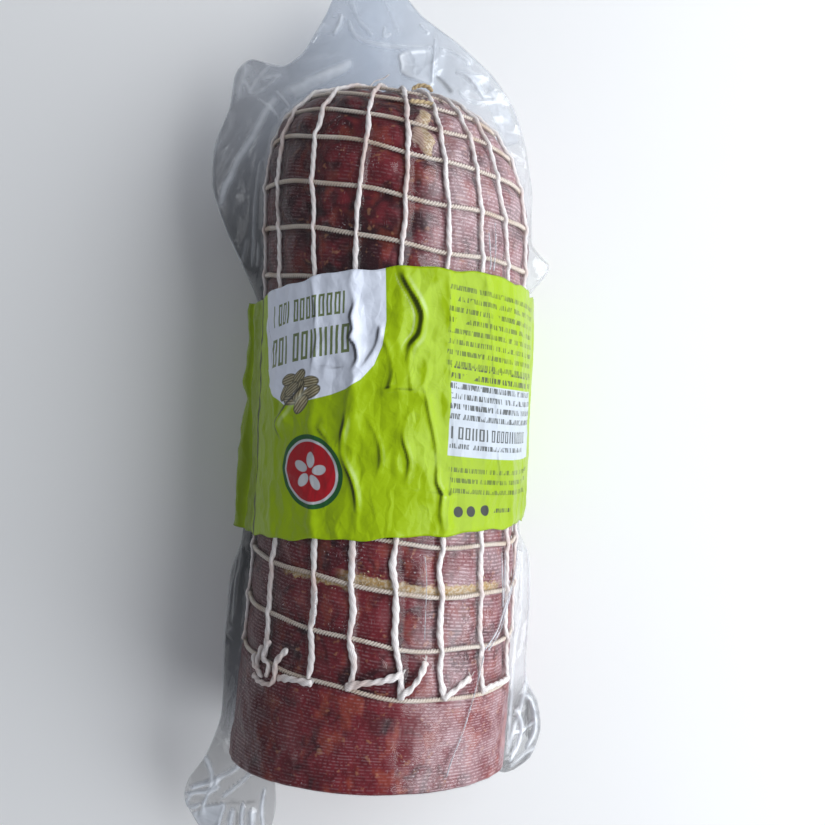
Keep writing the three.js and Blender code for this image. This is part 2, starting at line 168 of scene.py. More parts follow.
# Outline of a dry fold of casing on the dome, degrees round and millimetres along
CASING_FOLD = [(9, 114.6), (7.2, 107.8), (11.8, 103.2), (14.2, 100.8), (17.4, 107.9), (14.7, 113),
               (17.8, 118.5), (13, 120.4)]
CASING_FOLD_MM_PER_DEGREE = 0.75
CASING_FOLD_RISE = 0.0006


def smoothstep(value, low, high):
    share = np.clip((value - low) / (high - low), 0.0, 1.0)
    return share * share * (3 - 2 * share)


def swelling(along):
    shoulder = SHOULDER_SWELL * np.exp(-((along - SHOULDER_AT) / SHOULDER_REACH) ** 2)
    return 1 + SWELL_PER_M * np.maximum(0.0, SWELL_START - along) + shoulder


def dome_taper(along):
    dome = np.clip((along - DOME_START) / DOME_LENGTH, 0.0, 1.0)
    return dome, (1 - dome ** DOME_BULGE) ** (1 / DOME_ROUND)


def radius_at(along):
    return RADIUS * swelling(along) * dome_taper(along)[1]


def axis_shift(along):
    bend = -BEND_PER_M * np.maximum(0.0, BEND_START - along) ** 2
    toward_tip = np.clip((along - DOME_SHIFT_FROM) / (DOME_TIP - DOME_SHIFT_FROM), 0.0, 1.0)
    return bend + DOME_SHIFT * toward_tip ** 2


def surface_points(along, around, sunk):
    along, around, sunk = np.broadcast_arrays(
        np.asarray(along, float), np.asarray(around, float), np.asarray(sunk, float))
    dome, taper = dome_taper(along)
    radius = (RADIUS * swelling(along) - sunk) * taper
    station = np.where(dome > 0, DOME_START + dome * (DOME_LENGTH - sunk), along)
    side = radius * np.sin(around)
    rise = radius * np.cos(around)
    lean = CUT_LEAN * rise * smoothstep(-along, LEAN_FROM, -CUT_AT)
    slope = np.interp(along, SLOPE_AT, SLOPES)
    return np.stack([axis_shift(along) + side, station + slope * side + lean, AXIS_HEIGHT + rise],
                    axis=-1)


def seated(points, level):
    points[..., 2] = np.maximum(points[..., 2], level)
    return points


def with_back_cords(front):
    spacing = (front[0] + 360 - front[-1]) / (BACK_CORDS + 1)
    return front + [front[-1] + (i + 1) * spacing for i in range(BACK_CORDS)]


cord_table = np.array([with_back_cords(front) for front in FRONT_CORDS])
CORD_COUNT = cord_table.shape[1]
cell_rings = np.array(sorted(RINGS + RINGS_UNDER_BAND))
knots = np.sort(np.concatenate([cell_rings, (cell_rings[1:] + cell_rings[:-1]) / 2]))
waver_most = np.where(np.isin(knots, cell_rings), KNOT_WAVER,
                      np.where(knots < 0, LOWER_WAVER, UPPER_WAVER))
wavers = np.random.default_rng(5).uniform(-1, 1, (CORD_COUNT, len(knots))) * waver_most
cell_heights = np.random.default_rng(6).uniform(0.78, 1.1, (CORD_COUNT, len(cell_rings)))


def cord_angle(cord, along):
    index = cord % CORD_COUNT
    straight = np.radians(np.interp(along, CORDS_AT, cord_table[:, index]))
    place = np.clip(np.interp(along, knots, np.arange(len(knots))), 0, len(knots) - 1.001)
    knot = place.astype(int) if isinstance(place, np.ndarray) else int(place)
    share = smoothstep(place - knot, 0.0, 1.0)
    waver = wavers[index][knot] * (1 - share) + wavers[index][knot + 1] * share
    calm = radius_at(along) / RADIUS
    return straight + waver / RADIUS * calm + (cord // CORD_COUNT) * 2 * math.pi


def ring_bow(along, around):
    """How far a ring sags between its sides, as it is pulled along by the heavier cords."""
    degrees = np.degrees(np.mod(around + math.pi, 2 * math.pi) - math.pi)
    sag = RING_SAG * np.exp(-((degrees - RING_SAG_AT) / RING_SAG_REACH) ** 2)
    return RING_RISE - sag - RING_LEAN * smoothstep(along, 0.090, 0.105) * np.sin(around)


def net_cell(along, around):
    """Shares of the way across a cell, its height, and the distances to its cords and rings."""
    edges = [cord_angle(cord, along) for cord in range(CORD_COUNT + 1)]
    turned = edges[0] + np.mod(around - edges[0], 2 * math.pi)
    cord_share = np.zeros_like(along)
    cell = np.zeros(along.shape, int)
    width = np.ones_like(along)
    for cord in range(CORD_COUNT):
        low, high = edges[cord], edges[cord + 1]
        inside = (turned >= low) & (turned < high)
        cord_share = np.where(inside, (turned - low) / (high - low), cord_share)
        width = np.where(inside, (high - low) * radius_at(along), width)
        cell = np.where(inside, cord, cell)
    ring_place = np.interp(along - ring_bow(along, around), cell_rings, np.arange(len(cell_rings)))
    row = np.clip(ring_place.astype(int), 0, len(cell_rings) - 2)
    ring_share = np.clip(ring_place - row, 0.0, 1.0)
    length = cell_rings[row + 1] - cell_rings[row]
    near_cord = np.minimum(cord_share, 1 - cord_share) * width
    near_ring = np.minimum(ring_share, 1 - ring_share) * length
    return cord_share, ring_share, cell_heights[cell, row], near_cord, near_ring


def puff(share):
    return np.clip(1 - np.abs(2 * share - 1) ** PILLOW_PUFF, 0.0, 1.0)


def lumps(points, size, seed):
    shift = Vector((seed * 7.31, seed * 3.17, seed * 5.53))
    return np.array([noise.noise(Vector(p) / size + shift) for p in points.reshape(-1, 3)])


def outline_distance(x, y, outline):
    """Distance to a closed outline, above 0 inside it."""
    inside = np.zeros(x.shape, bool)
    best = np.full(x.shape, np.inf)
    for start, end in zip(outline, outline[1:] + outline[:1]):
        way = np.subtract(end, start)
        dx, dy = x - start[0], y - start[1]
        place = np.clip((dx * way[0] + dy * way[1]) / (way @ way), 0, 1)
        best = np.minimum(best, np.hypot(dx - place * way[0], dy - place * way[1]))
        if way[1] != 0:
            level = start[0] + dy / way[1] * way[0]
            inside ^= ((start[1] > y) != (end[1] > y)) & (x < level)
    return np.where(inside, best, -best)


def casing_fold(along, around):
    outline = [(degrees * CASING_FOLD_MM_PER_DEGREE, mm) for degrees, mm in CASING_FOLD]
    return outline_distance(np.degrees(around) * CASING_FOLD_MM_PER_DEGREE, along * 1000, outline)


def meat_sunk(along, around):
    cord_share, ring_share, height, _, _ = net_cell(along, around)
    height = height * np.where(along > 0, PILLOW_UPPER, PILLOW_LOWER)
    height = height * np.clip(radius_at(along) / RADIUS, 0, 1)
    covered = smoothstep(along, -0.036, -0.030) * (1 - smoothstep(along, 0.047, 0.053))
    height = height * (1 - (1 - PILLOW_UNDER_BAND) * covered)
    in_net = smoothstep(along - ring_bow(along, around), RINGS[0] - 0.003, RINGS[0] + 0.001)
    netted = VALLEY_SUNK - height * puff(cord_share) * puff(ring_share)
    sunk = netted * in_net + BARE_SUNK * (1 - in_net)
    bed = surface_points(along, around, sunk)
    calm = np.minimum(1.0, 0.35 + puff(cord_share) * puff(ring_share)) * (1 - 0.5 * covered)
    calm = calm * in_net + 1 - in_net
    bumps = LUMP * lumps(bed, 0.019, 1) + FINE_LUMP * lumps(bed, 0.0065, 2)
    rise = CASING_FOLD_RISE * smoothstep(casing_fold(along, around), -0.6, 0.8)
    return sunk - calm * bumps - rise


def rolled_grid(name, columns, rows, place_vertices, uv_name):
    """A grid primitive rolled up by a function of its column and row shares; UVs in metres."""
    bpy.ops.object.select_all(action="DESELECT")
    bpy.ops.mesh.primitive_grid_add(x_subdivisions=columns, y_subdivisions=rows, size=1)
    piece = bpy.context.object
    piece.name = name
    piece.data.name = name
    flat = np.empty(len(piece.data.vertices) * 3)
    piece.data.vertices.foreach_get("co", flat)
    flat = flat.reshape(-1, 3)
    points, chart, fields = place_vertices(flat[:, 0] + 0.5, flat[:, 1] + 0.5)
    piece.data.vertices.foreach_set("co", points.ravel())
    layer = piece.data.uv_layers[0]
    layer.name = uv_name
    corners = np.empty(len(piece.data.loops), int)
    piece.data.loops.foreach_get("vertex_index", corners)
    layer.data.foreach_set("uv", chart[corners].ravel())
    for field, values in fields.items():
        piece.data.attributes.new(field, "FLOAT", "POINT").data.foreach_set("value", values)
    return piece


def finish_mesh(piece, seam_gap=0.0):
    """Closes seams narrower than the gap, turns the faces outwards and smooths the shading."""
    bpy.ops.object.select_all(action="DESELECT")
    piece.select_set(True)
    bpy.context.view_layer.objects.active = piece
    bpy.ops.object.mode_set(mode="EDIT")
    bpy.ops.mesh.select_all(action="SELECT")
    if seam_gap:
        bpy.ops.mesh.remove_doubles(threshold=seam_gap)
    bpy.ops.mesh.normals_make_consistent(inside=False)
    bpy.ops.object.mode_set(mode="OBJECT")
    bpy.ops.object.shade_smooth()


def profile_rows():
    """Along value and share of the way out from the centre of the cut, row by row."""
    cut = np.linspace(0.0, 1 - CUT_ROUNDING / RADIUS, CUT_ROWS, endpoint=False)
    turn = np.linspace(0.0, math.pi / 2, ROUNDED_ROWS, endpoint=False)
    rounded_along = CUT_AT + CUT_ROUNDING * (1 - np.cos(turn))
    rounded_out = 1 - CUT_ROUNDING / RADIUS * (1 - np.sin(turn))
    straight = np.linspace(CUT_AT + CUT_ROUNDING, DOME_START, STRAIGHT_ROWS, endpoint=False)
    dome = DOME_START + DOME_LENGTH * np.sin(np.linspace(0.0, math.pi / 2, DOME_ROWS + 1))
    along = np.concatenate([np.full(CUT_ROWS, CUT_AT), rounded_along, straight, dome])
    out = np.concatenate([cut, rounded_out, np.ones(len(straight) + len(dome))])
    return along, out


row_along, row_out = profile_rows()


def sausage_rows(column, row):
    place = row * (len(row_along) - 1)
    along = np.interp(place, np.arange(len(row_along)), row_along)
    out = np.interp(place, np.arange(len(row_along)), row_out)
    return along, out, (column * 2 - 1) * math.pi


def place_sausage(column, row):
    along, out, around = sausage_rows(column, row)
    points = seated(surface_points(along, around, meat_sunk(along, around)), MEAT_FLAT)
    centre = surface_points(along, around, radius_at(along))
    points = centre + (points - centre) * out[:, None]
    chart = np.stack([around * RADIUS, along - (1 - out) * RADIUS], axis=-1)
    return points, chart, {"past_ring": along - ring_bow(along, around) - RINGS[2],
                           "casing_fold": casing_fold(along, around)}


sausage = rolled_grid("sausage", ROUND_COLUMNS, len(row_along) - 1, place_sausage, "casing")
finish_mesh(sausage, SEAM_GAP)

LEAN_DARK_AND_SHADE = (0.030, 0.004, 0.007, 1.0)
LEAN_RED = (0.16, 0.014, 0.021, 1.0)
FAT_ORANGE = (0.36, 0.072, 0.036, 1.0)
FAT_TAN = (0.50, 0.24, 0.12, 1.0)
RIB_LILAC = (0.52, 0.34, 0.36, 1.0)
PAINTED_SHEEN_LILAC = (0.58, 0.43, 0.45, 1.0)
MOULD = (0.58, 0.50, 0.52, 1.0)
CRUMB_GOLD = (0.50, 0.33, 0.12, 1.0)
CRUMB_PALE = (0.66, 0.56, 0.40, 1.0)
FOLD_PINK = (0.56, 0.41, 0.33, 1.0)
FOLD_GOLD = (0.48, 0.35, 0.19, 1.0)
FOLD_SHADE = (0.26, 0.13, 0.09, 1.0)
RIB_PITCH = 0.0013
STITCH_LENGTH = 0.0012
WRINKLE_PITCH = 0.0013
FULL_TURN = 2 * math.pi


class Field:
    """A number, place or colour that varies over a surface: an output of a material's nodes."""

    def __init__(self, socket):
        self.socket = socket
        self.tree = socket.id_data

    def __add__(self, other):
        return maths("ADD", self, other)

    def __sub__(self, other):
        return maths("SUBTRACT", self, other)

    def __mul__(self, other):
        return maths("MULTIPLY", self, other)

    def __truediv__(self, other):
        return maths("DIVIDE", self, other)

    __radd__ = __add__
    __rmul__ = __mul__

    def held(self):
        """Keeps a sum or a product between 0 and 1."""
        self.socket.node.use_clamp = True
        return self


def feed(socket, value):
    """Links a field to a socket, or sets the socket to a plain value."""
    if isinstance(value, Field):
        value.tree.links.new(value.socket, socket)
    else:
        socket.default_value = value


def add_node(tree, kind, inputs, output=0, **settings):
    """Adds a node with its settings and inputs, and gives one of its outputs as a field."""
    made = tree.nodes.new(kind)
    for name, value in settings.items():
        setattr(made, name, value)
    for name, value in inputs.items():
        feed(made.inputs[name], value)
    return Field(made.outputs[output])


def tree_of(*values):
    return next(value.tree for value in values if isinstance(value, Field))


def maths(operation, *values):
    return add_node(tree_of(*values), "ShaderNodeMath", dict(enumerate(values)), operation=operation)


def mix_colour(share, first, second, blend="MIX"):
    return add_node(tree_of(share, first, second), "ShaderNodeMix", {0: share, 6: first, 7: second},
                    output=2, data_type="RGBA", blend_type=blend)


def span(value, low, high, to_low=0.0, to_high=1.0):
    """Carries a value from one range to another, held at its ends."""
    return add_node(value.tree, "ShaderNodeMapRange", {
        "Value": value, "From Min": low, "From Max": high, "To Min": to_low, "To Max": to_high},
        output="Result", interpolation_type="SMOOTHSTEP")


def object_place(tree):
    return add_node(tree, "ShaderNodeTexCoord", {}, output="Object")


def part_of(place, axis):
    return add_node(place.tree, "ShaderNodeSeparateXYZ", {"Vector": place}, output=axis)


def chart_of(tree, uv_map):
    """A piece's chart as a place, and its two parts: the way across or round, and the way along."""
    chart = add_node(tree, "ShaderNodeUVMap", {}, output="UV", uv_map=uv_map)
    return chart, part_of(chart, "X"), part_of(chart, "Y")


def attribute_of(tree, name):
    return add_node(tree, "ShaderNodeAttribute", {}, output="Fac", attribute_name=name)


def place_at(x, y, z=0.0):
    return add_node(tree_of(x, y, z), "ShaderNodeCombineXYZ", {"X": x, "Y": y, "Z": z})


def stretched(where, scale):
    return add_node(where.tree, "ShaderNodeMapping", {"Vector": where, "Scale": scale})


def noise_at(where, scale, detail=2.0, distortion=0.0, output="Fac"):
    return add_node(where.tree, "ShaderNodeTexNoise", {
        "Vector": where, "Scale": scale, "Detail": detail, "Distortion": distortion}, output=output)


def stirred(where, amount, scale, detail):
    """Shifts places about, so that what is drawn on them has uneven edges."""
    return mix_colour(amount, where, noise_at(where, scale, detail, output="Color"), "ADD")


def set_bump(shader, height, distance=1.0, strength=1.0):
    feed(shader.inputs["Normal"], add_node(height.tree, "ShaderNodeBump", {
        "Height": height, "Distance": distance, "Strength": strength}, output="Normal"))


casing_material, tree, shader = new_material(
    "ribbed_casing", Roughness=0.42, Specular_IOR_Level=0.1, Coat_Weight=0.08, Coat_Roughness=0.12)
here = object_place(tree)
chart, across, along_chart = chart_of(tree, "casing")
bare = span(along_chart, -0.094, -0.088, 1.0, 0.0)
low_part = span(along_chart, 0.0, -0.06)
shaded_left_side = span(across, -0.046, -0.026, 1.0, 0.0)
lit_right_side = span(across - low_part * 0.004, 0.005, 0.024)

# Lean and fat that show through the casing
tone = noise_at(here, 45) * 0.45 + noise_at(here, 150, 3, distortion=0.8) * 0.55
tone = tone + (bare + low_part) * 0.05
flesh = mix_colour(span(tone, 0.38, 0.62), LEAN_DARK_AND_SHADE, LEAN_RED)
orange = span(noise_at(stretched(here, (1.2, 0.75, 1.0)), 120), 0.52, 0.66)
flesh = mix_colour(orange * (bare * 0.14 + 0.34), flesh, FAT_ORANGE)
flesh = mix_colour(span(noise_at(here, 330), 0.62, 0.72) * 0.42, flesh, FAT_TAN)
# Painted shade: the left side darkened towards the dark lean colour
flesh = mix_colour(shaded_left_side * 0.65, flesh, LEAN_DARK_AND_SHADE)

# The casing's ribs, pale where they catch the light: partly the casing's own pattern, partly a painted
# glint, most of all at the right; and a painted sheen of the window light at the right, stronger
# towards the dome
row_turn = along_chart * (1 / RIB_PITCH) + noise_at(here, 50, 1) * 1.2
rib = maths("SINE", row_turn * FULL_TURN)
stitches = noise_at(place_at(across * (1 / STITCH_LENGTH), maths("FLOOR", row_turn) * 5.3), 1.0, 1.0)
rib_mark = span(rib, -0.3, 1.0) * span(stitches, 0.38, 0.60)
patches = span(noise_at(here, 75, 3), 0.40, 0.64)
rib_and_glint_share = (patches * 0.14 + (shaded_left_side * 0.13 + lit_right_side * 0.44)).held()
rib_and_glint_share = (rib_and_glint_share + low_part * 0.13).held()
flesh = mix_colour(rib_mark * rib_and_glint_share, flesh, RIB_LILAC)
painted_sheen = span(noise_at(here, 110, 3), 0.32, 0.66, 0.08, 0.62)
painted_sheen = painted_sheen + span(along_chart, 0.045, 0.075, 0.0, 0.22)
flesh = mix_colour(lit_right_side * painted_sheen * span(rib_mark, 0.0, 1.0, 0.60, 1.2), flesh, PAINTED_SHEEN_LILAC)

# Specks and short fibres of white mould
specks = span(noise_at(here, 1300), 0.64, 0.72)
speck_zone = span(noise_at(stretched(here, (1.0, 1.5, 1.0)), 65), 0.54, 0.66)
flesh = mix_colour(specks * speck_zone, flesh, MOULD)
fibres = span(noise_at(stretched(chart, (2600.0, 230.0, 1.0)), 1.0), 0.68, 0.76)
flesh = mix_colour(fibres * 0.35, flesh, MOULD)

# A stain of crumbs along the third ring, above it in the middle and below it at the left
past_ring = attribute_of(tree, "past_ring")
ragged = past_ring + noise_at(here, 330, 4) * 0.0045
above = (span(past_ring, -0.0004, 0.0003) * span(ragged, 0.0055, 0.0068, 1.0, 0.0)
         * span(across, -0.018, -0.010) * span(across, 0.046, 0.058, 1.0, 0.0))
below = (span(past_ring, 0.0002, -0.0002) * span(ragged, -0.0006, 0.0004)
         * span(across, -0.044, -0.036) * span(across, -0.014, -0.008, 1.0, 0.0))
crumb_colour = mix_colour(span(noise_at(here, 900, 3), 0.42, 0.60), CRUMB_GOLD, CRUMB_PALE)
flesh = mix_colour(maths("MAXIMUM", above, below) * 0.85, flesh, crumb_colour)

# The dry fold of casing on the dome, pink on one side and golden on the other
fold_away = attribute_of(tree, "casing_fold") + (noise_at(here, 420, 3) - 0.5) * 2.4
fold_side = span(across + noise_at(here, 500) * 0.006, 0.0125, 0.0150)
fold_gold = mix_colour(span(noise_at(here, 1100), 0.40, 0.60), FOLD_GOLD, CRUMB_PALE)
fold_colour = mix_colour(fold_side, FOLD_PINK, fold_gold)
wrinkle_way = along_chart + across * 0.8 + noise_at(here, 260) * 0.0022
wrinkles = maths("SINE", wrinkle_way * (FULL_TURN / WRINKLE_PITCH))
# Painted shade in the troughs of the fold's wrinkles
fold_colour = mix_colour(span(wrinkles, 0.0, 0.9, 0.0, 0.5), fold_colour, FOLD_SHADE)
flesh = mix_colour(span(fold_away, -0.3, 0.3) * 0.9, flesh, fold_colour)
feed(shader.inputs["Base Color"], flesh)
set_bump(shader, rib * 0.000012 + (noise_at(here, 520, 3) * 0.00030 + noise_at(here, 165) * 0.0015),
         strength=0.8)
sausage.data.materials.append(casing_material)

CUT_LEAN_COLOUR = (0.34, 0.050, 0.042, 1.0)
CUT_DARK_COLOUR = (0.15, 0.018, 0.018, 1.0)
CUT_FAT_COLOUR = (0.78, 0.66, 0.58, 1.0)
CUT_FACING = -0.9
CUT_REACH = 0.008
cut_material, tree, shader = new_material("cut_meat", Roughness=0.42)
here = object_place(tree)
bent = stirred(here, 0.004, 160.0, 3.0)
fat_share = maths("MAXIMUM", span(noise_at(bent, 150), 0.565, 0.59),
                  span(noise_at(bent, 330, 1), 0.62, 0.65))
lean = mix_colour(span(noise_at(here, 190, 4), 0.35, 0.65), CUT_DARK_COLOUR, CUT_LEAN_COLOUR)
feed(shader.inputs["Base Color"], mix_colour(fat_share, lean, CUT_FAT_COLOUR))
set_bump(shader, noise_at(here, 420, 4), 0.0003, 0.6)
sausage.data.materials.append(cut_material)
for face in sausage.data.polygons:
    if face.normal.y < CUT_FACING and face.center.y < CUT_AT + CUT_REACH:
        face.material_index = 1
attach(sausage, "root")
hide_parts("meat")

# The net: cotton string machine-knitted as a tube, with thin twisted rings round the sausage
# and thicker soft cords along it, each cord stepping aside where it is looped over a ring.
CORD_SUNK = 0.0011
RING_SUNK = 0.0015
CORD_STEP = 0.0007
RING_STEP = 0.00034
CORD_HALF_LOWER = 0.00115
CORD_HALF_UPPER = 0.00088
CORD_HALF_HEIGHT = 0.00078
CORD_SWELL = 0.24
CORD_SWELL_LENGTH = 0.0038
RING_HALF_WIDTH = 0.00075
RING_HALF_HEIGHT = 0.00062
CORD_TWIST = 0.0082
RING_TWIST = 0.0023
CORD_LOBE = 0.12
RING_LOBE = 0.40
CORD_SIDES = 10
RING_SIDES = 7
RING_WAVER = 0.0003
CROSSING_SQUEEZE = 0.22
CROSSING_LIFT = 0.0007
CROSSING_REACH = 0.0019
NET_FLAT = 0.0009
TIP_LIMIT = 0.13176


def lengths_along(points):
    """How far each point of a line lies along it."""
    return np.concatenate([[0.0], np.cumsum(np.linalg.norm(np.diff(points, axis=0), axis=1))])


def twisted_string(path, outward, half_width, half_height, twist, lobe, sides, closed):
    """Rings of points round a path: two strands twisted together, flattened against outward."""
    ahead = np.roll(path, -1, axis=0) - np.roll(path, 1, axis=0)
    if not closed:
        ahead[0] = path[1] - path[0]
        ahead[-1] = path[-1] - path[-2]
    ahead /= np.linalg.norm(ahead, axis=1)[:, None]
    sideways = np.cross(ahead, outward)
    sideways /= np.linalg.norm(sideways, axis=1)[:, None]
    up = np.cross(sideways, ahead)
    travelled = lengths_along(path)
    turns = travelled / twist
    if closed:
        total = travelled[-1] + np.linalg.norm(path[0] - path[-1])
        turns = travelled / total * round(total / twist)
    angles = np.linspace(0, 2 * math.pi, sides, endpoint=False)
    swell = 1 + lobe * np.cos(2 * (angles[None, :] - 2 * math.pi * turns[:, None]))
    if not closed:
        ends = np.minimum(travelled, travelled[-1] - travelled) / half_height
        swell *= np.sqrt(np.clip(1 - (1 - np.clip(ends, 0, 1)) ** 2, 0.0, 1.0))[:, None] * 0.94 + 0.06
    wide = half_width[:, None] * swell * np.cos(angles)[None, :]
    high = half_height * swell * np.sin(angles)[None, :]
    points = (path[:, None, :] + sideways[:, None, :] * wide[..., None]
              + up[:, None, :] * high[..., None])
    chart = np.stack([np.broadcast_to(angles / (2 * math.pi), swell.shape),
                      np.broadcast_to(turns[:, None] * twist, swell.shape)], axis=-1)
    return points, chart, closed


def string_piece(name, strings):
    """Joins strings, each rings of points with a chart, into one mesh with closed ends."""
    vertices, faces, charts = [], [], []
    for points, chart, closed in strings:
        start = len(vertices)
        count, sides = points.shape[:2]
        vertices.extend(points.reshape(-1, 3))
        charts.extend(chart.reshape(-1, 2))
        for row in range(count if closed else count - 1):
            this, following = start + row * sides, start + (row + 1) % count * sides
            for side in range(sides):
                after = (side + 1) % sides
                faces.append((this + side, this + after, following + after, following + side))
        if not closed:
            faces.append(tuple(start + side for side in reversed(range(sides))))
            faces.append(tuple(start + (count - 1) * sides + side for side in range(sides)))
    mesh = bpy.data.meshes.new(name)
    mesh.from_pydata([tuple(v) for v in vertices], [], faces)
    layer = mesh.uv_layers.new(name="string")
    corners = np.empty(len(mesh.loops), int)
    mesh.loops.foreach_get("vertex_index", corners)
    layer.data.foreach_set("uv", np.array(charts)[corners].ravel())
    piece = bpy.data.objects.new(name, mesh)
    bpy.context.scene.collection.objects.link(piece)
    finish_mesh(piece)
    return piece


def outward_of(along, around):
    return surface_points(along, around, -0.001) - surface_points(along, around, 0.001)


def near_ring(along, around):
    level = along - ring_bow(along, around)
    return sum(np.exp(-((level - ring) / CROSSING_REACH) ** 2) for ring in RINGS)


def string_material(name, pale, stained, shade, twist, groove_shade):
    """Cotton: stained in places, with painted shade in the groove between its two strands and between
    its fine threads.
    """
    material, tree, shader = new_material(name, Roughness=0.7, Sheen_Weight=0.15)
    here = object_place(tree)
    chart, turned, travelled = chart_of(tree, "string")
    colour = mix_colour(span(noise_at(here, 75, 3), 0.44, 0.70), pale, stained)
    strand = maths("COSINE", (turned - travelled * (1 / twist)) * (2 * FULL_TURN))
    colour = mix_colour(span(strand, -1.0, 0.1, groove_shade, 0.0), colour, shade)
    fibre = add_node(tree, "ShaderNodeTexWave", {
        "Vector": stretched(chart, (6.0, 420.0, 1.0)), "Scale": 1.0, "Distortion": 1.2, "Detail": 2.0},
        output="Fac", bands_direction="DIAGONAL")
    fine = fibre * 0.6 + noise_at(here, 1800) * 0.4
    colour = mix_colour(span(fine, 0.15, 0.6, 0.25, 0.0), colour, shade)
    feed(shader.inputs["Base Color"], colour)
    set_bump(shader, fine, 0.00025, 0.6)
    return material


cord_strings = []
for cord in range(CORD_COUNT):
    dome_part = DOME_START + DOME_LENGTH * np.sin(np.linspace(0.0, math.pi / 2, 400))
    along = np.concatenate([np.arange(RINGS[0], DOME_START, CORD_STEP / 2), dome_part])
    along = along[along < TIP_LIMIT]
    around = cord_angle(cord, along)
    along = along + ring_bow(along, around) * smoothstep(DOME_START - along, 0.0, 0.15)
    line = surface_points(along, around, CORD_SUNK)
    length = lengths_along(line)
    even = np.arange(0.0, length[-1], CORD_STEP)
    along = np.interp(even, length, along)
    around = cord_angle(cord, along)
    swells = np.random.default_rng(100 + cord).uniform(-1, 1, int(even[-1] / CORD_SWELL_LENGTH) + 2)
    sunk = CORD_SUNK - CROSSING_LIFT * np.clip(near_ring(along, around), 0, 1)
    path = seated(surface_points(along, around, sunk), NET_FLAT)
    half_width = CORD_HALF_LOWER + (CORD_HALF_UPPER - CORD_HALF_LOWER) * smoothstep(along, -0.02, 0.05)
    swell = CORD_SWELL * np.interp(even / CORD_SWELL_LENGTH, np.arange(len(swells)), swells)
    squeeze = 1 - CROSSING_SQUEEZE * np.clip(near_ring(along, around), 0, 1)
    cord_strings.append(twisted_string(
        path, outward_of(along, around), half_width * (1 + swell) * squeeze, CORD_HALF_HEIGHT,
        CORD_TWIST, CORD_LOBE, CORD_SIDES, False))
cords = string_piece("net_cords", cord_strings)
cotton = string_material("cotton_cord", (0.92, 0.88, 0.86, 1.0), (0.76, 0.62, 0.57, 1.0),
                         (0.42, 0.30, 0.27, 1.0), CORD_TWIST, 0.22)
cords.data.materials.append(cotton)
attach(cords, "root")
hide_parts("net")

ring_strings = []
for index, ring in enumerate(RINGS):
    count = int(2 * math.pi * float(radius_at(ring)) / RING_STEP)
    around = np.linspace(-math.pi, math.pi, count, endpoint=False)
    random.seed(300 + index)
    phase = random.uniform(0, 6.28)
    calm = float(radius_at(ring)) / RADIUS
    along = ring + RING_WAVER * np.sin(around * 9 + phase) * calm
    along = np.minimum(along + ring_bow(along, around) * calm ** 2, TIP_LIMIT)
    path = seated(surface_points(along, around, RING_SUNK), NET_FLAT)
    ring_strings.append(twisted_string(
        path, outward_of(along, around), np.full(count, RING_HALF_WIDTH), RING_HALF_HEIGHT,
        RING_TWIST, RING_LOBE, RING_SIDES, True))
ring_piece = string_piece("net_rings", ring_strings)
ring_piece.data.materials.append(string_material(
    "twisted_ring", (0.86, 0.77, 0.67, 1.0), (0.72, 0.58, 0.45, 1.0), (0.30, 0.19, 0.13, 1.0),
    RING_TWIST, 0.6))
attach(ring_piece, "root")
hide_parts("net")

# Loose string: where the net was cut, at its last ring, the ends of the cords are knotted,
# laid along the ring or left as short stubs; a stray thread stands out past the dome.
# Each has a half width and a height, then its route in degrees round and millimetres along.
LOOSE_STRINGS = [
    (1.3, 1.5, [(-40.6, -91.5), (-33.4, -90), (-28.6, -89.5), (-23.3, -89.3)]),
    (1.1, 1.5, [(-56.9, -95.1), (-55.2, -94.6), (-49.7, -95.3), (-43.1, -94.2), (-41.2, -90.9),
                (-41.4, -86.3), (-36.3, -80)]),
    (0.9, 1.8, [(-47.1, -79.6), (-49.5, -86.5), (-45.6, -87.8), (-45, -90.1), (-46.7, -92.6)]),
    (0.9, 1.3, [(-52.4, -82.9), (-53.7, -88.6), (-52.8, -92.5)]),
    (0.9, 1.9, [(-58, -87.5), (-55.5, -90.5), (-51.8, -91.6), (-48.6, -93.4)]),
    (1.45, 1.5, [(-10.4, -87.6), (-8.6, -87.3), (-4.6, -85.6), (2.7, -83.7), (7.1, -82),
                 (11.3, -80.4)]),
    (1.3, 1.9, [(10.6, -89.3), (11.8, -87.5), (14.3, -85.3), (17.3, -81.1), (18.7, -77.6),
                (19.7, -75.1)]),
    (1.25, 1.6, [(28, -88.9), (29.4, -87.8), (33.2, -85.4), (36.8, -83.1), (40.8, -81.5)]),
    (1.2, 1.5, [(49.6, -87.6), (50.4, -86.6), (57.1, -85.8), (64.8, -86), (72, -86.5)]),
]
LOOSE_HALF_HEIGHT = 0.0009
HAIRS = 5
HAIR_HALF_WIDTH = 0.00016
HAIR_HALF_HEIGHT = 0.00014
THREAD_HALF_WIDTH = 0.00022
UPWARD = (0.0, 0.0, 1.0)


def smooth_route(points, step, tension=0.5):
    """A curve through rows of numbers, with as many parts a stretch as the step asks."""
    points = np.array(points, float)
    padded = np.vstack([2 * points[0] - points[1], points, 2 * points[-1] - points[-2]])
    share = np.arange(0.0, 1.0, step)[:, None]
    rows = []
    for before, here, there, after in zip(padded, padded[1:], padded[2:], padded[3:]):
        rows.append((2 * share ** 3 - 3 * share ** 2 + 1) * here
                    + (share ** 3 - 2 * share ** 2 + share) * tension * (there - before)
                    + (3 * share ** 2 - 2 * share ** 3) * there
                    + (share ** 3 - share ** 2) * tension * (after - here))
    return np.vstack(rows + [points[-1:]])


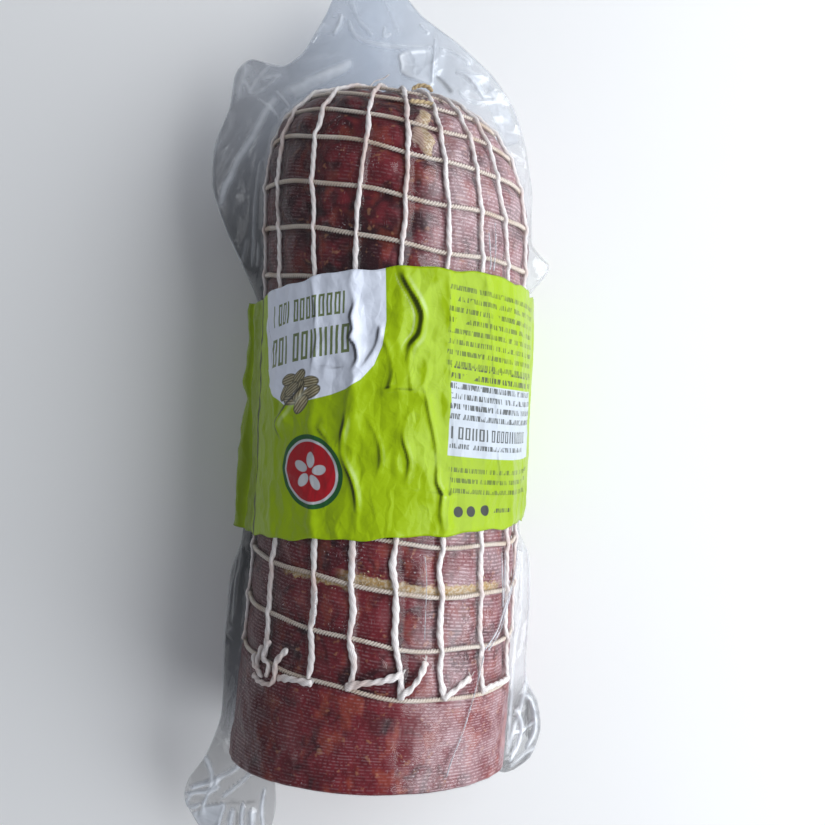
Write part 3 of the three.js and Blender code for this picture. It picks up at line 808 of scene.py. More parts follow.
loose = []
for half_width_mm, lift_mm, route in LOOSE_STRINGS:
    rows = smooth_route(route, 0.08)
    around, along = np.radians(rows[:, 0]), rows[:, 1] / 1000
    share = np.linspace(0.0, 1.0, len(rows))
    lift = (lift_mm * np.sin(math.pi * (0.15 + 0.6 * share)) - 0.3) / 1000
    path = surface_points(along, around, CORD_SUNK - lift)
    width = half_width_mm / 1000 * (0.85 + 0.15 * np.sin(share * 9))
    loose.append(twisted_string(path, outward_of(along, around), width, LOOSE_HALF_HEIGHT,
                                CORD_TWIST, 0.2, 12, False))
    if half_width_mm > 1.2:
        tip, before = rows[-1], rows[-4]
        for hair in range(HAIRS):
            random.seed(hair * 7 + len(loose))
            spread = np.array([random.uniform(-2.0, 2.0), random.uniform(0.6, 2.4)])
            hair_route = smooth_route([before, tip, tip + (tip - before) * 0.3 + spread], 0.2)
            around, along = np.radians(hair_route[:, 0]), hair_route[:, 1] / 1000
            path = surface_points(along, around, CORD_SUNK - lift[-1])
            loose.append(twisted_string(
                path, outward_of(along, around), np.full(len(path), HAIR_HALF_WIDTH),
                HAIR_HALF_HEIGHT, CORD_TWIST, 0.0, 5, False))
thread = smooth_route([(-0.0137, 0.1325, 0.0615), (-0.0117, 0.1353, 0.0600),
                       (-0.0088, 0.1366, 0.0592), (-0.0063, 0.1385, 0.0588)], 0.1)
loose.append(twisted_string(
    thread, np.tile(UPWARD, (len(thread), 1)), np.full(len(thread), THREAD_HALF_WIDTH),
    THREAD_HALF_WIDTH, CORD_TWIST, 0.0, 6, False))
loose_piece = string_piece("loose_string", loose)
loose_piece.data.materials.append(cotton)
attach(loose_piece, "root")

# The tied end: a small loop of golden waxed string at the tip of the casing, and beside it the
# thick end of the tie, laid along a ring of the net.
TIE_HALF_WIDTH = 0.0036
TIE_REACH = 0.0024
TIE_TWIST = 0.004
TIE_THICK = 0.0008
TIE_CENTRE = (0.0065, 0.1324, 0.059)
turn = np.linspace(0.0, math.pi, 40)
tie_path = np.stack([TIE_CENTRE[0] + TIE_HALF_WIDTH * np.cos(turn),
                     TIE_CENTRE[1] + TIE_REACH * np.sin(turn),
                     np.full(len(turn), TIE_CENTRE[2])], axis=-1)
rows = smooth_route([(7.5, 122.2), (9.3, 122.5), (15.4, 123.1), (22.2, 123)], 0.1)
around, along = np.radians(rows[:, 0]), rows[:, 1] / 1000
tie_end = surface_points(along, around, 0.0008)
tie = string_piece("tied_end", [
    twisted_string(tie_path, np.tile(UPWARD, (len(turn), 1)), np.full(len(turn), TIE_THICK),
                   TIE_THICK, TIE_TWIST, 0.18, 10, False),
    twisted_string(tie_end, outward_of(along, around), np.full(len(rows), 0.0009),
                   TIE_THICK, TIE_TWIST, 0.2, 10, False)])
tie.data.materials.append(string_material(
    "waxed_tie", (0.62, 0.48, 0.27, 1.0), (0.42, 0.28, 0.13, 1.0), (0.20, 0.11, 0.05, 1.0),
    TIE_TWIST, 0.6))
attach(tie, "root")
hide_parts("tie")

# Mustard-coloured crumbs of spice and dried rind, caught between the casing and the net above
# the third ring.
CRUMBS = 620
CRUMB_SIZES = (0.00012, 0.00034)
bpy.ops.object.select_all(action="DESELECT")
bpy.ops.mesh.primitive_ico_sphere_add(subdivisions=1, radius=1.0)
crumb_seed = bpy.context.object
crumb_points = np.array([tuple(v.co) for v in crumb_seed.data.vertices])
crumb_faces = np.array([tuple(f.vertices) for f in crumb_seed.data.polygons])
bpy.data.objects.remove(crumb_seed)
draw = np.random.default_rng(31)
crumb_around = np.radians(np.where(draw.random(CRUMBS) < 0.86, draw.uniform(-14, 58, CRUMBS),
                                   draw.uniform(-44, -14, CRUMBS)))
crumb_rise = np.where(crumb_around > math.radians(-14), draw.exponential(0.0013, CRUMBS),
                      -draw.exponential(0.0008, CRUMBS))
crumb_along = RINGS[2] + np.clip(crumb_rise, -0.003, 0.0075)
crumb_along = crumb_along + ring_bow(crumb_along, crumb_around)
crumb_sunk = meat_sunk(crumb_along, crumb_around) - 0.0001
crumb_centres = surface_points(crumb_along, crumb_around, crumb_sunk)
crumb_shapes = (crumb_points[None] * draw.uniform(*CRUMB_SIZES, (CRUMBS, 1, 3))
                * draw.uniform(0.7, 1.2, (CRUMBS, len(crumb_points), 1)))
crumb_vertices = (crumb_centres[:, None, :] + crumb_shapes).reshape(-1, 3)
crumb_starts = np.arange(CRUMBS)[:, None, None] * len(crumb_points)
crumb_corners = (crumb_faces[None] + crumb_starts).reshape(-1, 3)
crumb_mesh = bpy.data.meshes.new("crumbs")
crumb_mesh.from_pydata(crumb_vertices.tolist(), [], crumb_corners.tolist())
crumbs = bpy.data.objects.new("crumbs", crumb_mesh)
bpy.context.scene.collection.objects.link(crumbs)
crumb_material, tree, shader = new_material("mustard_crumb", Roughness=0.6)
feed(shader.inputs["Base Color"], mix_colour(
    span(noise_at(object_place(tree), 1400, 1), 0.38, 0.60), CRUMB_GOLD, CRUMB_PALE))
crumbs.data.materials.append(crumb_material)
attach(crumbs, "root")

# The printed band: a stretch of the bag's film, printed in opaque green with a white panel,
# that goes right round the sausage over the net. It stands off the body in a pleat at the left.
BAND_SUNK = -0.0001
BAND_THICKNESS = 0.0007
BAND_FLAT = 0.0004
BAND_WALL = 0.0003
BAND_FRONT_COLUMNS = 370
BAND_BACK_COLUMNS = 84
BAND_FRONT_FROM = -112.0
BAND_FRONT_TO = 108.0
BAND_ROWS = 104
BAND_TOP = 0.0527
BAND_TOP_CROWN = 0.0079
BAND_TOP_LEAN = 0.0042
BAND_BOTTOM = -0.0361
BAND_BOTTOM_CROWN = 0.0022
BAND_BOTTOM_LEAN = 0.0044
CROWN_POWER = 1.5
LEFT_CORNER = -95.0
RIGHT_CORNER = 103.0
LEFT_CORNER_AT = [-0.041, 0.004, 0.011, 0.018, 0.050]
LEFT_CORNER_REACH = [0.0613, 0.0596, 0.0573, 0.0586, 0.0576]
RIGHT_CORNER_REACH = 0.058
PLEAT_HALF_ANGLE = math.radians(7.5)
CORD_RIDGE = 0.0005
BAND_CRUMPLE = 0.0017
STEEP_SIDE = 0.85
SHALLOW_SIDE = 1.7
FOLD_RISE = 1.45
PLEAT_SHADE_LINE = -71.0
PLEAT_TUBE = -86.0
PLEAT_TUBE_RISE = 0.0024
MM_PER_DEGREE = 0.911
# Folds: height and half width in millimetres, and the route in degrees round, millimetres along
BAND_FOLDS = [
    (0.9, 1.5, [(-33, 53.1), (-31, 46.9), (-30, 41.7), (-30, 35.3), (-30, 30), (-31, 25.4),
                (-33, 18.4), (-38, 11.4), (-42, 7.7), (-49, 0.8), (-50, -1.9), (-47, -6.3)]),
    (1.1, 1.4, [(-15, 57.8), (-16, 51.8), (-14, 46.1), (-15, 41.5), (-14, 37.1), (-15, 34.2), (-13, 32),
                (-12, 27), (-14, 22.5), (-13, 20.8), (-15, 16.1), (-16, 11.1), (-16, 5.8), (-17, -0.4),
                (-17, -7), (-13, -14), (-11, -19.1), (-10, -27), (-10, -33.9)]),
    (-0.5, 1.0, [(1, 59.7), (3, 55.6), (7, 50.1), (9, 46), (9, 41.8), (8, 38.2), (5, 34.4), (4, 29.1),
                 (5, 25)]),
    (1.15, 1.5, [(3.6, 59.7), (5.8, 55.6), (9.8, 50.1), (11.8, 46), (11.6, 41.8), (10.6, 38.2),
                (7.6, 34.4), (6.8, 29.1), (7.6, 24), (9, 18)]),
    (0.8, 1.2, [(13, 31.3), (14, 26.2), (13, 21.5), (14, 18.5), (16, 11.4), (18, 4.9), (20, -3.9),
                (20, -11.3), (22, -15.7), (22, -23.2), (24, -30.1)]),
    (0.35, 1.1, [(21, 62.6), (23, 46.5), (24, 22.2), (27, -1.5), (25, -24.4), (26, -29.2)]),
    (0.4, 0.9, [(38, 63.6), (42, 41.7), (50, -0.2), (54, -27.8)]),
    (0.5, 1.0, [(-31, 21.8), (-24, 22.3), (-15, 23.1)]),
    (0.6, 1.0, [(-3, 18), (8, 18.8), (22, 19.5)]),
    (0.5, 1.0, [(5, -16.1), (17, -15.8), (32, -15.8)]),
    (0.7, 1.2, [(-13, 20.8), (-9, 26), (-5, 33), (-4, 40)]),
    (0.8, 1.4, [(-3, 36), (0, 30), (1, 24), (0, 18)]),
    (0.6, 1.3, [(-28, 2), (-22, -4), (-20, -12), (-23, -20)]),
    (0.6, 1.2, [(-8, 8), (-3, 0), (-2, -9), (-5, -18), (-2, -27)]),
    (0.6, 1.2, [(8, 12), (6, 3), (9, -6), (8, -14)]),
    (0.5, 1.0, [(-62, 40), (-58, 30), (-57, 15), (-60, 2)]),
    (0.5, 1.1, [(-66, -2), (-60, -10), (-62, -22), (-58, -32)]),
    (0.6, 1.0, [(-96, 30), (-92, 24), (-96, 18), (-91, 13), (-95, 8)]),
]


def creases(points, size, seed):
    """Sharp ridges, from 0 to about 1, as in crumpled plastic."""
    return 1 - np.abs(lumps(points, size, seed)) * 2.4


def fold_field(x, y, folds, kind="soft"):
    """Sum of ridges, each a height, a half width and a route. Creased ones are steep on the left; their
    tone is painted light, below 0 (painted shade) on the steep side and above 0 (painted highlight) on
    the other."""
    total = np.zeros(x.shape)
    for height, width, route in folds:
        line = smooth_route(route, 0.34)
        reach = (3 if kind == "soft" else 5) * width
        down = -1.0 if line[-1, 1] > line[0, 1] else 1.0
        near = np.nonzero((x > line[:, 0].min() - reach) & (x < line[:, 0].max() + reach)
                          & (y > line[:, 1].min() - reach) & (y < line[:, 1].max() + reach))[0]
        best = np.full(len(near), np.inf)
        share = np.zeros(len(near))
        side = np.zeros(len(near))
        for i, (start, end) in enumerate(zip(line[:-1], line[1:])):
            way = end - start
            dx, dy = x[near] - start[0], y[near] - start[1]
            place = np.clip((dx * way[0] + dy * way[1]) / max(way @ way, 1e-9), 0, 1)
            away = np.hypot(dx - place * way[0], dy - place * way[1])
            share = np.where(away < best, (i + place) / (len(line) - 1), share)
            side = np.where(away < best, down * (way[0] * dy - way[1] * dx), side)
            best = np.minimum(best, away)
        ends = np.sqrt(np.clip(np.minimum(share, 1 - share) / 0.12, 0.0, 1.0))
        profile = np.exp(-(best / width) ** 2)
        away = np.where(side < 0, -best, best) / width
        if kind == "creased":
            rounded = np.sqrt(away ** 2 + 0.04) - 0.2
            profile = np.exp(-rounded / np.where(side < 0, STEEP_SIDE, SHALLOW_SIDE))
        elif kind == "tone":
            profile = 0.3 * np.exp(-((away - 0.9) / 0.7) ** 2) - np.exp(-((away + 0.55) / 0.5) ** 2)
        total[near] += height * profile * ends
    return total


def cornered_radius(base, tip, offset):
    reach = np.arccos(np.clip(base / tip, 0.0, 1.0))
    return np.where(offset < reach, base / np.cos(np.maximum(reach - offset, 0.0)), base)


def turn_between(around, degrees):
    return np.abs(np.mod(around - math.radians(degrees) + math.pi, 2 * math.pi) - math.pi)


def unrolled(route):
    """Turns degrees round into millimetres across."""
    return [(degrees * MM_PER_DEGREE, mm) for degrees, mm in route]


def band_edges(around):
    """The band's lower and upper edge, drawn up where it crosses the front."""
    crown = np.maximum(0.0, np.cos(around)) ** CROWN_POWER
    bottom = BAND_BOTTOM + BAND_BOTTOM_CROWN * crown + BAND_BOTTOM_LEAN * np.sin(around)
    return bottom, BAND_TOP + BAND_TOP_CROWN * crown + BAND_TOP_LEAN * np.sin(around)


# Outline of the white panel, degrees round and millimetres along
PANEL = [(-62, 27.7), (-60, 16.6), (-57.5, 12.4), (-53, 9.0), (-46, 6.9), (-38, 8.6), (-30, 11.0),
         (-23, 13.3), (-16.5, 16.2), (-11, 20.1), (-6, 26), (-3, 33.3), (-2, 42), (-2.4, 51),
         (-3, 66), (-66, 66)]


def place_band(column, row):
    last = BAND_FRONT_COLUMNS + BAND_BACK_COLUMNS
    around = np.radians(np.interp(column * last, [0, BAND_FRONT_COLUMNS, last],
                                  [BAND_FRONT_FROM, BAND_FRONT_TO, BAND_FRONT_FROM + 360]))
    bottom, top = band_edges(around)
    ragged = 0.0004 * np.sin(around * 11) + 0.0003 * np.sin(around * 23 + 1)
    y = bottom + (top - bottom) * row + ragged
    base = radius_at(y) - BAND_SUNK + BAND_THICKNESS
    left_tip = np.interp(y, LEFT_CORNER_AT, LEFT_CORNER_REACH)
    left_away = turn_between(around, LEFT_CORNER)
    pleat = np.cos(np.clip(left_away / PLEAT_HALF_ANGLE, 0, 1) * math.pi / 2) ** 0.6
    left = base + (left_tip - base) * pleat
    right = cornered_radius(base, RIGHT_CORNER_REACH, turn_between(around, RIGHT_CORNER))
    reach = np.maximum(np.maximum(left, right), base)
    degrees = np.degrees(np.mod(around + math.pi, 2 * math.pi) - math.pi)
    along = y - np.interp(y, SLOPE_AT, SLOPES) * radius_at(y) * np.sin(around)
    near_cord, near_hoop = net_cell(along, around)[3:]
    hugging = np.clip(1 - (reach - base) / 0.002, 0.0, 1.0)
    ridge = CORD_RIDGE * np.exp(-(near_cord / 0.0021) ** 2) - 0.00035
    hoop = 0.00022 * np.exp(-(near_hoop / 0.0018) ** 2)
    flat = np.stack([reach * np.sin(around), y, reach * np.cos(around)], axis=-1)
    folded = creases(flat * np.array([1.0, 0.55, 1.0]), 0.019, 11)
    small = creases(flat, 0.009, 12)
    routes = [(height, width, unrolled(route)) for height, width, route in BAND_FOLDS]
    across = degrees * MM_PER_DEGREE
    folds = fold_field(across, along * 1000, routes, "creased") * FOLD_RISE / 1000
    # Painted light on the folds: shade on their steep sides, highlight on the others
    tone = fold_field(across, along * 1000, routes, "tone")
    uneven = np.clip(0.8 + 1.5 * lumps(flat, 0.011, 13), 0.1, 1.5)
    folds, tone = folds * (0.4 + 0.6 * uneven), tone * uneven
    # Painted shade in a line beside the pleat and over the pleat, and a painted highlight along the
    # pleat's tube
    tone = tone - 1.2 * np.exp(-((degrees - PLEAT_SHADE_LINE) / 1.3) ** 2)
    tone = tone - 0.45 * smoothstep(-degrees, 72, 76)
    tone = tone + 1.6 * np.exp(-((degrees - PLEAT_TUBE) / 1.1) ** 2)
    inner = smoothstep(np.minimum(row, 1 - row), 0.0, 0.03)
    reach = reach + hugging * (ridge + hoop) + folds * (0.35 + 0.65 * inner)
    reach = reach + BAND_CRUMPLE * (folded - 0.5) * 0.55 * inner + 0.0004 * (small - 0.5)
    reach = reach + PLEAT_TUBE_RISE * np.exp(-((degrees - PLEAT_TUBE) / 7.0) ** 2)
    reach = np.maximum(reach, base - 0.00035)
    points = np.stack([axis_shift(y) + reach * np.sin(around), y,
                       AXIS_HEIGHT + reach * np.cos(around)], axis=-1)
    panel = outline_distance(across, along * 1000, unrolled(PANEL))
    return (seated(points, BAND_FLAT), np.stack([across / 1000, along], axis=-1),
            {"panel": panel, "fold_tone": np.clip(tone, -1.0, 1.0)})


band = rolled_grid("printed_band", BAND_FRONT_COLUMNS + BAND_BACK_COLUMNS, BAND_ROWS, place_band,
                   "print")
finish_mesh(band, SEAM_GAP)
wall = band.modifiers.new("wall", "SOLIDIFY")
wall.thickness = BAND_WALL
wall.offset = -1.0
bpy.ops.object.modifier_apply(modifier="wall")

GREEN = (0.340, 0.502, 0.001, 1.0)
GREEN_DEEP = (0.286, 0.421, 0.001, 1.0)
PANEL_WHITE = (0.80, 0.85, 0.97, 1.0)
BOX_WHITE = (0.52, 0.57, 0.63, 1.0)
PRINT_GREEN = (0.12, 0.17, 0.02, 1.0)
PRINT_OLIVE = (0.055, 0.085, 0.015, 1.0)
PRINT_DARK = (0.03, 0.035, 0.03, 1.0)
SEED_TAN = (0.40, 0.36, 0.24, 1.0)
SEED_DARK = (0.17, 0.14, 0.075, 1.0)
BADGE_GREEN = (0.02, 0.11, 0.03, 1.0)
BADGE_WHITE = (0.56, 0.57, 0.60, 1.0)
BADGE_RED = (0.42, 0.012, 0.02, 1.0)
BADGE_CENTRE = (-0.0282, -0.0150)
EDGE = 0.00013
FOLD_SHADE_SHARE = 0.88
FOLD_HIGHLIGHT_SHARE = 0.30
FOLD_SHADE_BLACK = (0.0, 0.0, 0.0, 1.0)
FOLD_HIGHLIGHT = (0.9, 0.95, 0.8, 1.0)
SEED_LENGTH_SQUEEZE = 0.47
SEED_STRIPE = 0.0009
SEEDS = [(-0.0415, 0.0118, -0.5), (-0.0402, 0.0160, -1.2), (-0.0352, 0.0172, -0.7),
         (-0.0300, 0.0166, -1.3), (-0.0378, 0.0092, -1.4), (-0.0342, 0.0128, -0.2),
         (-0.0290, 0.0132, -1.0), (-0.0385, 0.0128, -0.9), (-0.0330, 0.0082, -0.6)]
BADGE_RINGS = [(0.0132, BADGE_GREEN), (0.0115, BADGE_WHITE), (0.0106, BADGE_RED)]
PETALS = 5
PETAL_REACH = 0.0042
DOTS = [(0.0273, -0.0216), (0.0328, -0.0212), (0.0392, -0.0206)]

band_material, tree, shader = new_material(
    "printed_film", Roughness=0.38, Specular_IOR_Level=0.22, Coat_Weight=0.16, Coat_Roughness=0.12)
here = object_place(tree)
across, along_print = chart_of(tree, "print")[1:]


def within(value, low, high, soft=EDGE):
    """1 where a value lies between two limits, 0 elsewhere."""
    return span(value, low - soft, low + soft) * span(value, high - soft, high + soft, 1.0, 0.0)


def inside(value, limit, soft=EDGE):
    """1 where a value is below a limit, 0 above it."""
    return span(value, limit - soft, limit + soft, 1.0, 0.0)


def hashed(value, salt):
    return add_node(value.tree, "ShaderNodeTexWhiteNoise", {"W": value + salt},
                    output="Value", noise_dimensions="1D")


def distance_from(centre, squeeze=(1.0, 1.0), turn=0.0):
    """Distance from a point of the print, and the way across, both turned and squeezed."""
    dx, dy = across - centre[0], along_print - centre[1]
    turned_x = (dx * math.cos(turn) + dy * math.sin(turn)) * squeeze[0]
    turned_y = (dy * math.cos(turn) - dx * math.sin(turn)) * squeeze[1]
    return maths("SQRT", turned_x * turned_x + turned_y * turned_y), turned_x


def block_row(left, right, low, slope, height, pitch, salt):
    """A row of tall printed marks: a bar, two bars or a narrow frame each."""
    place = (across - left) / pitch
    mark, part = maths("FLOOR", place), maths("FRACT", place)
    rise = (along_print - ((across - left) * slope + low)) / height
    closed = maths("GREATER_THAN", hashed(mark, salt), 0.30)
    double = maths("MAXIMUM", closed, maths("GREATER_THAN", hashed(mark, salt + 3.7), 0.5))
    ink = maths("MAXIMUM", within(part, 0.10, 0.34, 0.03), within(part, 0.58, 0.82, 0.03) * double)
    ends = maths("MAXIMUM", within(rise, 0.0, 0.11, 0.01), within(rise, 0.89, 1.0, 0.01))
    ink = maths("MAXIMUM", ink, within(part, 0.10, 0.82, 0.03) * ends * closed)
    return ink * within(rise, 0.0, 1.0, 0.01) * within(across, left, right)


def printed_lines(left, right, low, high, pitch, height, letter, word_gap):
    """Rows of small marks, as a column of small print is seen from a distance."""
    level = (along_print - low) / pitch
    row, part = maths("FLOOR", level), maths("FRACT", level)
    letters, words = [
        noise_at(place_at(across / size, row * salt, part * 0.8), 1.0, 0.0)
        for size, salt in ((letter, 7.3), (letter * 6, 3.1))]
    return (span(letters, 0.40, 0.52) * span(words, word_gap, word_gap + 0.02)
            * within(part, 0.0, height / pitch, 0.04)
            * within(across, left, right) * within(along_print, low, high))


def faceted(where, scale, stretch=(1.0, 1.0, 1.0)):
    """Height of a crumpled sheet, flat facets that meet in sharp creases."""
    return add_node(where.tree, "ShaderNodeTexVoronoi", {
        "Vector": stretched(stirred(where, 0.008, scale, 1.0), stretch), "Scale": scale},
        output="Distance", distance="MANHATTAN")


# Ground, panel and title
colour = mix_colour(span(noise_at(here, 14), 0.35, 0.65), GREEN, GREEN_DEEP)
colour = mix_colour(span(attribute_of(tree, "panel"), -0.12, 0.12), colour, PANEL_WHITE)
title = maths("MAXIMUM", block_row(-0.0510, -0.0146, 0.0336, 0.2527, 0.0078, 0.00303, 1.0),
              block_row(-0.0519, -0.0137, 0.0189, 0.274, 0.0100, 0.00425, 21.0))
colour = mix_colour(title * 0.92, colour, PRINT_GREEN)

# Striped seeds at the foot of the panel
for seed_x, seed_y, seed_turn in SEEDS:
    seed_away, seed_across = distance_from((seed_x, seed_y), (1.0, SEED_LENGTH_SQUEEZE), seed_turn)
    stripe = span(maths("SINE", seed_across * (FULL_TURN / SEED_STRIPE)), -0.6, 0.6)
    seed_colour = mix_colour(stripe, SEED_DARK, SEED_TAN)
    seed_colour = mix_colour(span(seed_away, 0.0015, 0.0020, 0.0, 0.7), seed_colour, PRINT_DARK)
    colour = mix_colour(span(seed_away, 0.0019, 0.0022, 1.0, 0.0), colour, seed_colour)

# Round badge with a flower
badge = distance_from(BADGE_CENTRE)[0]
for badge_radius, badge_colour in BADGE_RINGS:
    colour = mix_colour(inside(badge, badge_radius), colour, badge_colour)
for petal in range(PETALS):
    petal_turn = petal * FULL_TURN / PETALS + 0.3
    petal_centre = (BADGE_CENTRE[0] + PETAL_REACH * math.cos(petal_turn),
                    BADGE_CENTRE[1] + PETAL_REACH * math.sin(petal_turn))
    petal_away = distance_from(petal_centre, (0.62, 1.0), petal_turn)[0]
    colour = mix_colour(span(petal_away, 0.0016, 0.0019, 1.0, 0.0), colour, BADGE_WHITE)

# White box and the small print over it, in it and below it
box = within(across, 0.0219, 0.0850) * within(along_print, -0.0019, 0.0245)
colour = mix_colour(box, colour, BOX_WHITE)
olive_print = maths(
    "MAXIMUM", printed_lines(0.0200, 0.0850, 0.0300, 0.0585, 0.0038, 0.0018, 0.00036, 0.34),
    printed_lines(0.0225, 0.0850, -0.0150, -0.0040, 0.0037, 0.0017, 0.00036, 0.34))
colour = mix_colour(olive_print * 0.78, colour, PRINT_OLIVE)
dark_print = printed_lines(0.0215, 0.0850, 0.0112, 0.0300, 0.0036, 0.0020, 0.00042, 0.33)
for more in (printed_lines(0.0225, 0.0700, 0.0008, 0.0026, 0.0036, 0.0018, 0.0005, 0.36),
             block_row(0.0225, 0.0760, 0.0042, 0.0, 0.0044, 0.0030, 41.0),
             printed_lines(0.0445, 0.0560, -0.0215, -0.0195, 0.0036, 0.0016, 0.0005, 0.2)):
    dark_print = maths("MAXIMUM", dark_print, more)
colour = mix_colour(dark_print * 0.88, colour, PRINT_DARK)
for dot in DOTS:
    colour = mix_colour(span(distance_from(dot)[0], 0.0018, 0.0021, 1.0, 0.0), colour, PRINT_DARK)

# The folds' painted shade and painted highlight, and the fine crumple of the film
fold_tone = attribute_of(tree, "fold_tone")
colour = mix_colour(span(fold_tone, -1.0, -0.05, FOLD_SHADE_SHARE, 0.0), colour, FOLD_SHADE_BLACK)
colour = mix_colour(span(fold_tone, 0.1, 0.6, 0.0, FOLD_HIGHLIGHT_SHARE), colour, FOLD_HIGHLIGHT)
feed(shader.inputs["Base Color"], colour)
crumple = faceted(here, 75, (1.0, 0.5, 1.0)) * 0.0011
crumple = crumple + faceted(here, 170, (1.0, 0.6, 1.0)) * 0.00025
set_bump(shader, noise_at(here, 170, 4, distortion=1.0) * 0.00024 + crumple)
band.data.materials.append(band_material)
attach(band, "root")
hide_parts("band")

# The clear bag, where it is drawn tight by the vacuum: over the casing and its cut end, over
# the cords and rings of the net, and between them down to the meat.
SKIN_CLEAR = 0.00022
SKIN_LOWEST = -0.0013
SKIN_FLAT = 0.0002
SKIN_UNDER_BAND = 0.0001
SKIN_BLEND = 0.00012
CUT_FILM_GAP = 0.0004
SKIN_WRINKLE = 0.0001
LOOSE_DEPTH = 0.0014


def place_skin(column, row):
    along, out, around = sausage_rows(column, row)
    near_cord, near_hoop = net_cell(along, around)[3:]
    calm = np.clip(radius_at(along) / RADIUS, 0, 1)
    in_net = smoothstep(along - ring_bow(along, around), RINGS[0] - 0.006, RINGS[0])
    over_meat = np.maximum(SKIN_CLEAR - meat_sunk(along, around), SKIN_LOWEST)
    over_cord = 0.00008 - 0.0016 * (near_cord / 0.0026) ** 2 - 0.004 * (1 - in_net)
    over_ring = -0.0006 - 0.0011 * (near_hoop / 0.0022) ** 2 - 0.004 * (1 - in_net)
    crossing = 0.0006 * np.exp(-(near_cord / 0.0022) ** 2 - (near_hoop / 0.0022) ** 2) * in_net
    degrees = np.degrees(around)
    over_loose = fold_field(degrees * MM_PER_DEGREE, along * 1000, [
        (2.6, 2.4, unrolled(route)) for _, _, route in LOOSE_STRINGS]) / 1000 - LOOSE_DEPTH
    heights = np.stack([over_meat, over_cord, over_ring, np.minimum(over_loose, LOOSE_DEPTH)])
    height = SKIN_BLEND * np.log(np.exp(heights / SKIN_BLEND).sum(axis=0)) + crossing
    bottom, top = band_edges(around)
    y = along + np.interp(along, SLOPE_AT, SLOPES) * radius_at(along) * np.sin(around)
    covered = smoothstep(y, bottom - 0.0014, bottom + 0.0006)
    covered = covered * (1 - smoothstep(y, top - 0.0006, top + 0.0014))
    height = height * (1 - covered) + np.minimum(height, SKIN_UNDER_BAND) * covered
    wrinkle = SKIN_WRINKLE * creases(surface_points(along, around, 0.0), 0.006, 22) ** 3
    sunk = -height * (0.4 + 0.6 * calm) - wrinkle * (1 - covered)
    points = seated(surface_points(along, around, sunk), SKIN_FLAT)
    centre = surface_points(along, around, radius_at(along))
    points = centre + (points - centre) * out[:, None]
    points[:, 1] -= CUT_FILM_GAP * (along <= CUT_AT + CUT_ROUNDING)
    return points, np.stack([around * RADIUS, along], axis=-1), {}


skin = rolled_grid("film_over_sausage", ROUND_COLUMNS, len(row_along) - 1, place_skin, "film")
finish_mesh(skin, SEAM_GAP)


def film_material(name, clear_colour, milkiness, roughness, mirror_least, mirror_edge,
                  wrinkle_depth, facet_depth=0.0):
    """Clear film: what is behind shows through a tint, with a milky haze and a gloss. The tint and the
    haze are functions of the place; on the spare film they carry painted shade and painted highlights."""
    material, tree, shader = new_material(name)
    tree.nodes.remove(shader)
    here = object_place(tree)
    relief = noise_at(here, 130, 4, distortion=1.5) * wrinkle_depth
    if facet_depth:
        crumpled = span(part_of(here, "X"), -0.030, 0.010, 0.35, 1.0)
        relief = relief + faceted(here, 70) * crumpled * facet_depth
    wrinkled = add_node(tree, "ShaderNodeBump", {"Height": relief, "Distance": 1.0}, output="Normal")
    clear = add_node(tree, "ShaderNodeBsdfTransparent", {"Color": clear_colour(here)})
    milk = add_node(tree, "ShaderNodeBsdfPrincipled", {
        "Base Color": (0.78, 0.82, 0.88, 1.0), "Roughness": 0.4, "Normal": wrinkled})
    mirror = add_node(tree, "ShaderNodeBsdfPrincipled", {
        "Base Color": (1.0, 1.0, 1.0, 1.0), "Metallic": 1.0, "Normal": wrinkled,
        "Roughness": span(noise_at(here, 85, 3), 0.38, 0.62, *roughness)})
    edge_on = add_node(tree, "ShaderNodeLayerWeight", {"Blend": 0.5, "Normal": wrinkled},
                       output="Facing")
    mirrored = (maths("POWER", edge_on, 4.0) * mirror_edge + mirror_least).held()
    hazed = add_node(tree, "ShaderNodeMixShader", {0: milkiness(here), 1: clear, 2: milk})
    glossed = add_node(tree, "ShaderNodeMixShader", {0: mirrored, 1: hazed, 2: mirror})
    feed(tree.nodes["Material Output"].inputs["Surface"], glossed)
    return material


tight_film = film_material(
    "tight_film", lambda here: (0.98, 0.98, 0.985, 1.0),
    lambda here: span(noise_at(here, 60, 3), 0.45, 0.75, 0.0, 0.01),
    (0.12, 0.30), 0.033, 0.03, 0.0003)
skin.data.materials.append(tight_film)
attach(skin, "root")
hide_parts("bag")

# Creases in the tight film: thin folded ridges that run down over the net, in degrees round
# and millimetres along, each with its half width in millimetres.
FILM_CREASES = [
    (0.30, [(78, -36), (74, -43.8), (68.4, -49.4), (60.7, -57.5), (55.4, -65.1), (47.1, -71.7)]),
    (0.24, [(70, -50), (63.2, -56.8), (58.2, -64.8), (49.4, -72.1)]),
    (0.22, [(46.9, -73.6), (44.3, -82.6), (41.5, -92), (38.5, -104), (34.8, -116), (33, -124)]),
    (0.22, [(56, -36), (56.6, -41), (59.3, -57.3)]),
    (0.20, [(59.2, -36), (59.3, -41), (59.9, -54.5)]),
    (0.16, [(16.6, -38), (17.7, -46.6), (18, -57.1), (18.3, -67.7)]),
    (0.24, [(-24.7, -56.1), (-24.5, -61.4), (-24.4, -68.5)]),
    (0.20, [(39.6, 79.8), (41.1, 69.4), (40.6, 66.5)]),
    (0.20, [(43, 84), (43.6, 74), (42.8, 66.5)]),
]
CREASE_HALF_HEIGHT = 0.00035
CREASE_TWIST = 0.03
crease_strings = []
for half_width_mm, route in FILM_CREASES:
    rows = smooth_route(route, 0.08)
    around, along = np.radians(rows[:, 0]), rows[:, 1] / 1000
    path = surface_points(along, around, -0.0004)
    crease_strings.append(twisted_string(
        path, outward_of(along, around), np.full(len(rows), half_width_mm / 1000),
        CREASE_HALF_HEIGHT, CREASE_TWIST, 0.0, 8, False))
